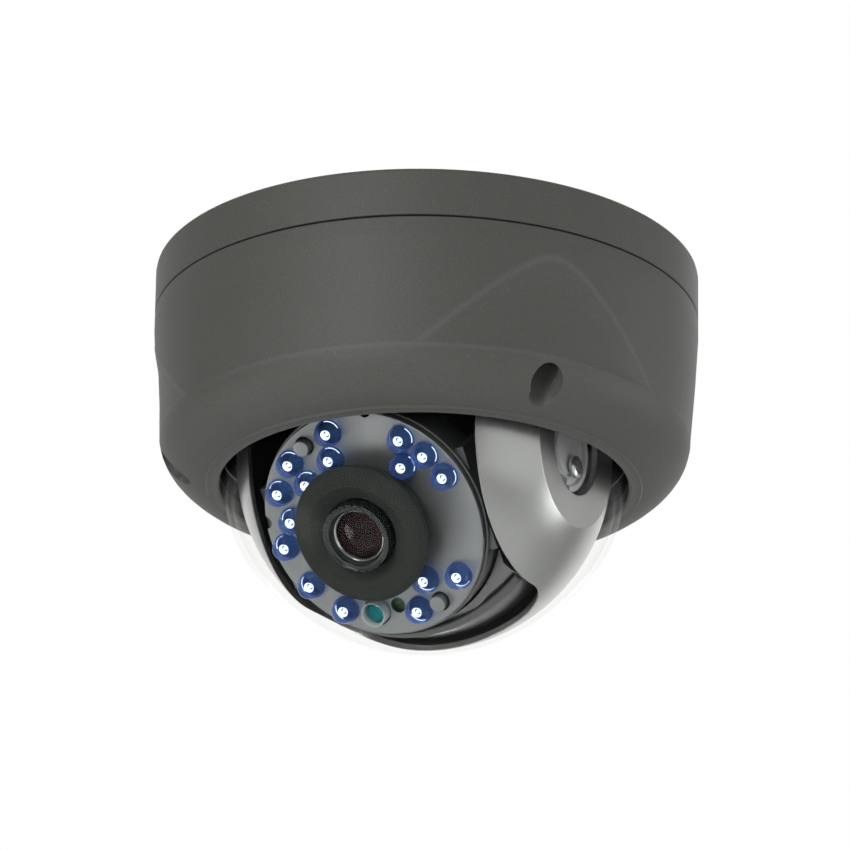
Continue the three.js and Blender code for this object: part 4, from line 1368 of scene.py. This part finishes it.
@dataclass
class LensUnit:
    """The foam ring, the lens and the imager behind it."""

    shop: Workshop
    optics: Optics
    notch_angles: tuple[int, ...] = (-28, -14, 0, 14, 28, 152, 166, 180, 194, 208)

    def add(self, name: str, profile: Sequence[Row], finish: str, slot: str, *nodes: str,
            rounding: float = 0.15, segments: int = 96) -> None:
        """Turn a profile about the optical axis and install it.

        Args:
            name: the piece's name.
            profile: its [radius, height] rows.
            finish: the short name of its finish.
            slot: the name of a material slot, passed on to the workshop.
            nodes: the CAD nodes it stands for.
            rounding: rounding of its corners.
            segments: facets round it.
        """
        piece = moved(turned(name, soften(profile, rounding), segments), self.optics.place())
        self.shop.install(piece, Body.HEAD, finish, slot, *nodes)

    def build(self) -> None:
        """Make the lens unit's pieces."""
        foam = [(9.1, 25.8), (12.4, 25.8), (12.4, 30.2, 0.3), (14.4, 30.2, 0.5), (14.4, 31.6, 0.7),
                (13.2, 32.9, 0.9), (10.5, 32.9, 0.8), (8.3, 31.5, 0.4), (7.55, 31.3), (7.55, 30.4),
                (9.1, 30.4)]
        hub = [(9.2, 12.8), (12.6, 12.8), (12.6, 15.7), (15.7, 15.7), (15.7, 18.1), (21.5, 18.1),
               (21.5, 21.9), (9.2, 21.9)]
        clip = [(12.9, 13.4), (18.0, 13.4), (18.0, 15.4), (12.9, 15.4)]
        holder = [(6.6, -0.3), (12.6, -0.3), (12.6, 1.9), (8.8, 3.1), (8.8, 26.6), (6.6, 26.6)]
        tube = [(4.6, 4.0), (6.3, 4.0), (6.3, 33.0, 0.1), (5.85, 33.0, 0.1), (5.6, 32.4, 0.05),
                (5.5, 29.4), (4.6, 29.4)]
        self.add("lens_foam", foam, "foam", "foam", "foam_ring", rounding=0.2, segments=144)
        self.add("head_hub", hub, "black", "black_plastic", "head_frame")
        self.add("head_clip", clip, "steel", "steel", "head_retaining_ring")
        self.add("lens_holder", holder, "black", "black_plastic", "lens_mount")
        self.add("lens_tube", tube, "black", "black_plastic", "lens_barrel")
        self.build_retainer()
        self.build_glass()
        for node, finish in (("sensor_board", "board"), ("image_sensor", "silicon"), ("ir_filter", "teal")):
            self.shop.redress(node, finish)

    def build_retainer(self) -> None:
        """Make the silver retaining ring, notched for its key at top and bottom."""
        outline = [(6.6, 31.0), (7.15, 31.0), (7.15, 34.0, 0.15), (6.75, 34.0, 0.1), (6.55, 33.75, 0.05),
                   (5.9, 33.75, 0.1), (5.9, 33.3), (6.6, 33.3)]
        ring = turned("lens_ring", soften(outline, 0.05), 144)
        cuts = [moved(rod("cut", 0.42, 33.2, 35.0, 20), on_plate(7.25, a)) for a in self.notch_angles]
        combine(ring, [join("cuts", cuts)], "DIFFERENCE")
        self.shop.install(moved(ring, self.optics.place()), Body.HEAD, "silver", "ring_silver",
                          "lens_retainer", crisp=40.0)

    def build_glass(self) -> None:
        """Make the front element, the bright bezel round it, and the stop and small element behind it."""
        crown = sphere_arc(13.0, 19.2, 11.93, 13.0, 16)
        front = [(0.0, 30.9), (5.15, 30.9), (5.15, 31.1, 0.05), *crown]
        rim = [(4.95, 31.35), (5.45, 31.35), (5.45, 32.5), (5.3, 32.6), (5.0, 32.2)]
        stop = [(1.5, 29.3), (5.1, 30.55), (5.1, 30.75), (3.4, 30.3), (3.3, 30.0), (1.5, 29.5)]
        inner = [(0.0, 28.6), (1.9, 28.6), (1.9, 28.9), (1.0, 29.15), (0.0, 29.25)]
        self.add("front_element", front, "front_glass", "lens_glass", "lens_glass", rounding=0.0)
        self.add("front_bezel", rim, "bezel", "ring_silver", rounding=0.1)
        self.add("lens_stop", stop, "stop", "black_plastic", rounding=0.03)
        # The small element's colour is a painted reflection of its coating.
        self.add("inner_element", inner, "inner_glass_painted_reflection", "lens_glass", rounding=0.03)


# ---- inside of the base -------------------------------------------------------------------------


@dataclass
class Electronics:
    """The main board in the base."""

    shop: Workshop

    def build(self) -> None:
        """Dress the board that the CAD already shapes."""
        self.shop.redress("main_board", "board")


# ---- studio -------------------------------------------------------------------------------------


@dataclass
class Studio:
    """Camera, lights, white surround and a pale floor.

    Attributes:
        distance: metres from the camera to the point it looks at.
        azimuth: the camera's angle in degrees, from -Y towards +X.
        below: how many degrees it is below the object's level.
        aim_height: height of the point it looks at.
        roll: how far it is tipped about its own axis, in degrees.
        sensor: width of its sensor in millimetres.
        lens: its focal length in millimetres.
        floor_height: height of the floor.
        floor_side: the floor's width and length.
        front_glow: brightness of the surround in front of the object.
        back_glow: brightness of the surround behind it.
    """

    distance: float = 1.5
    azimuth: float = 31.3
    below: float = 21.9
    aim_height: float = -0.0327
    roll: float = 0.85
    sensor: float = 36.0
    lens: float = 312.6
    floor_height: float = -0.95
    floor_side: float = 8.0
    front_glow: float = 0.17
    back_glow: float = 1.2

    def build(self) -> None:
        """Set the whole studio up."""
        self.build_camera()
        self.build_lights()
        self.build_surround()
        self.build_floor()

    def build_camera(self) -> None:
        """Place the camera below the object, looking up at it."""
        turn, rise = math.radians(self.azimuth), math.radians(self.below)
        forward = Vector((-math.cos(rise) * math.sin(turn), math.cos(rise) * math.cos(turn), math.sin(rise)))
        right = Vector((math.cos(turn), math.sin(turn), 0.0))
        up = right.cross(forward)
        tip = math.radians(self.roll)
        right_rolled = right * math.cos(tip) + up * math.sin(tip)
        up_rolled = up * math.cos(tip) - right * math.sin(tip)
        spot = Vector((0, 0, self.aim_height)) - forward * self.distance
        data = bpy.data.cameras.new("camera")
        data.sensor_width = self.sensor
        data.lens = self.lens
        data.clip_end = 20.0
        camera = bpy.data.objects.new("camera", data)
        facing = Matrix((right_rolled, up_rolled, -forward)).transposed()
        camera.matrix_world = Matrix.Translation(spot) @ facing.to_4x4()
        bpy.context.scene.collection.objects.link(camera)
        bpy.context.scene.camera = camera

    def add_light(self, name: str, azimuth: float, elevation: float, distance: float,
                  size: tuple[float, float], power: float) -> None:
        """Add a soft box that faces the object.

        Args:
            name: the light's name.
            azimuth: degrees from -Y towards +X.
            elevation: degrees above the horizon.
            distance: metres from the object.
            size: width and height in metres.
            power: watts.
        """
        turn, rise = math.radians(azimuth), math.radians(elevation)
        away = Vector((math.cos(rise) * math.sin(turn), -math.cos(rise) * math.cos(turn), math.sin(rise)))
        data = bpy.data.lights.new(name, "AREA")
        data.shape = "RECTANGLE"
        data.size, data.size_y = size
        data.energy = power
        light = bpy.data.objects.new(name, data)
        light.location = away * distance + Vector((0, 0, self.aim_height))
        light.rotation_euler = away.to_track_quat("Z", "Y").to_euler()
        bpy.context.scene.collection.objects.link(light)

    def build_lights(self) -> None:
        """Add the soft boxes; their azimuths are measured from the camera's."""
        self.add_light("key_left", self.azimuth - 28, 5, 1.6, (0.4, 1.0), 16.5)
        self.add_light("strip_right", self.azimuth + 54, -2, 1.5, (1.2, 1.0), 3.2)
        self.add_light("rim_right", self.azimuth + 98, 0, 1.5, (0.5, 1.0), 7.5)
        self.add_light("plate_low", self.azimuth - 92, -30, 1.2, (0.35, 0.35), 1.3)
        self.add_light("front_low", self.azimuth + 14, -38, 1.9, (0.7, 0.3), 5.0)
        self.add_light("top_back", self.azimuth + 170, 40, 1.8, (1.4, 0.8), 10.0)

    def build_surround(self) -> None:
        """Add the surround, white behind the object and dimmer in front of it."""
        world = bpy.data.worlds.new("surround")
        recipe = Recipe(world)
        turn, rise = math.radians(self.azimuth), math.radians(self.below)
        behind = (-math.cos(rise) * math.sin(turn), math.cos(rise) * math.cos(turn), math.sin(rise))
        way = recipe.node("ShaderNodeTexCoord", output="Generated")
        depth = recipe.node("ShaderNodeVectorMath", {"operation": "DOT_PRODUCT"},
                            {0: way, 1: behind}, "Value")
        back = recipe.node("ShaderNodeMapRange", {"interpolation_type": "SMOOTHSTEP"}, {
            "Value": depth, "From Min": 0.5, "From Max": 0.9, "To Min": self.front_glow,
            "To Max": self.back_glow})
        seen = recipe.node("ShaderNodeLightPath", output="Is Camera Ray")
        light = back + seen * (1.0 - back)
        recipe.finish(recipe.node("ShaderNodeBackground", None, {"Color": light, "Strength": 1.0}),
                      "ShaderNodeOutputWorld")
        bpy.context.scene.world = world
        bpy.context.scene.view_settings.view_transform = "Standard"

    def build_floor(self) -> None:
        """Add the plain pale floor."""
        side = self.floor_side / 2
        verts = [(-side, -side, self.floor_height), (side, -side, self.floor_height),
                 (side, side, self.floor_height), (-side, side, self.floor_height)]
        floor = mesh_of("floor", verts, [(0, 1, 2, 3)])
        recipe = Recipe.material("pale_floor")
        shade = recipe.blend(recipe.noise(0.004, 2.0), (0.86, 0.86, 0.86), (0.9, 0.9, 0.9))
        floor.data.materials.append(recipe.finish(recipe.node(
            "ShaderNodeBsdfPrincipled", None, {"Base Color": shade, "Roughness": 0.7})))


def main() -> None:
    """Build the studio and every sub-assembly, in order."""
    logging.basicConfig(level=logging.INFO, format="%(name)s %(message)s")
    Studio().build()
    shop = Workshop()
    optics = Optics()
    for assembly in (Housing(shop), Bubble(shop), Gimbal(shop), Carrier(shop, optics),
                     LampPlate(shop, optics), LensUnit(shop, optics), Electronics(shop)):
        assembly.build()
        LOG.info("%s built, %d pieces so far", type(assembly).__name__, shop.count)


if __name__ == "__main__":
    main()
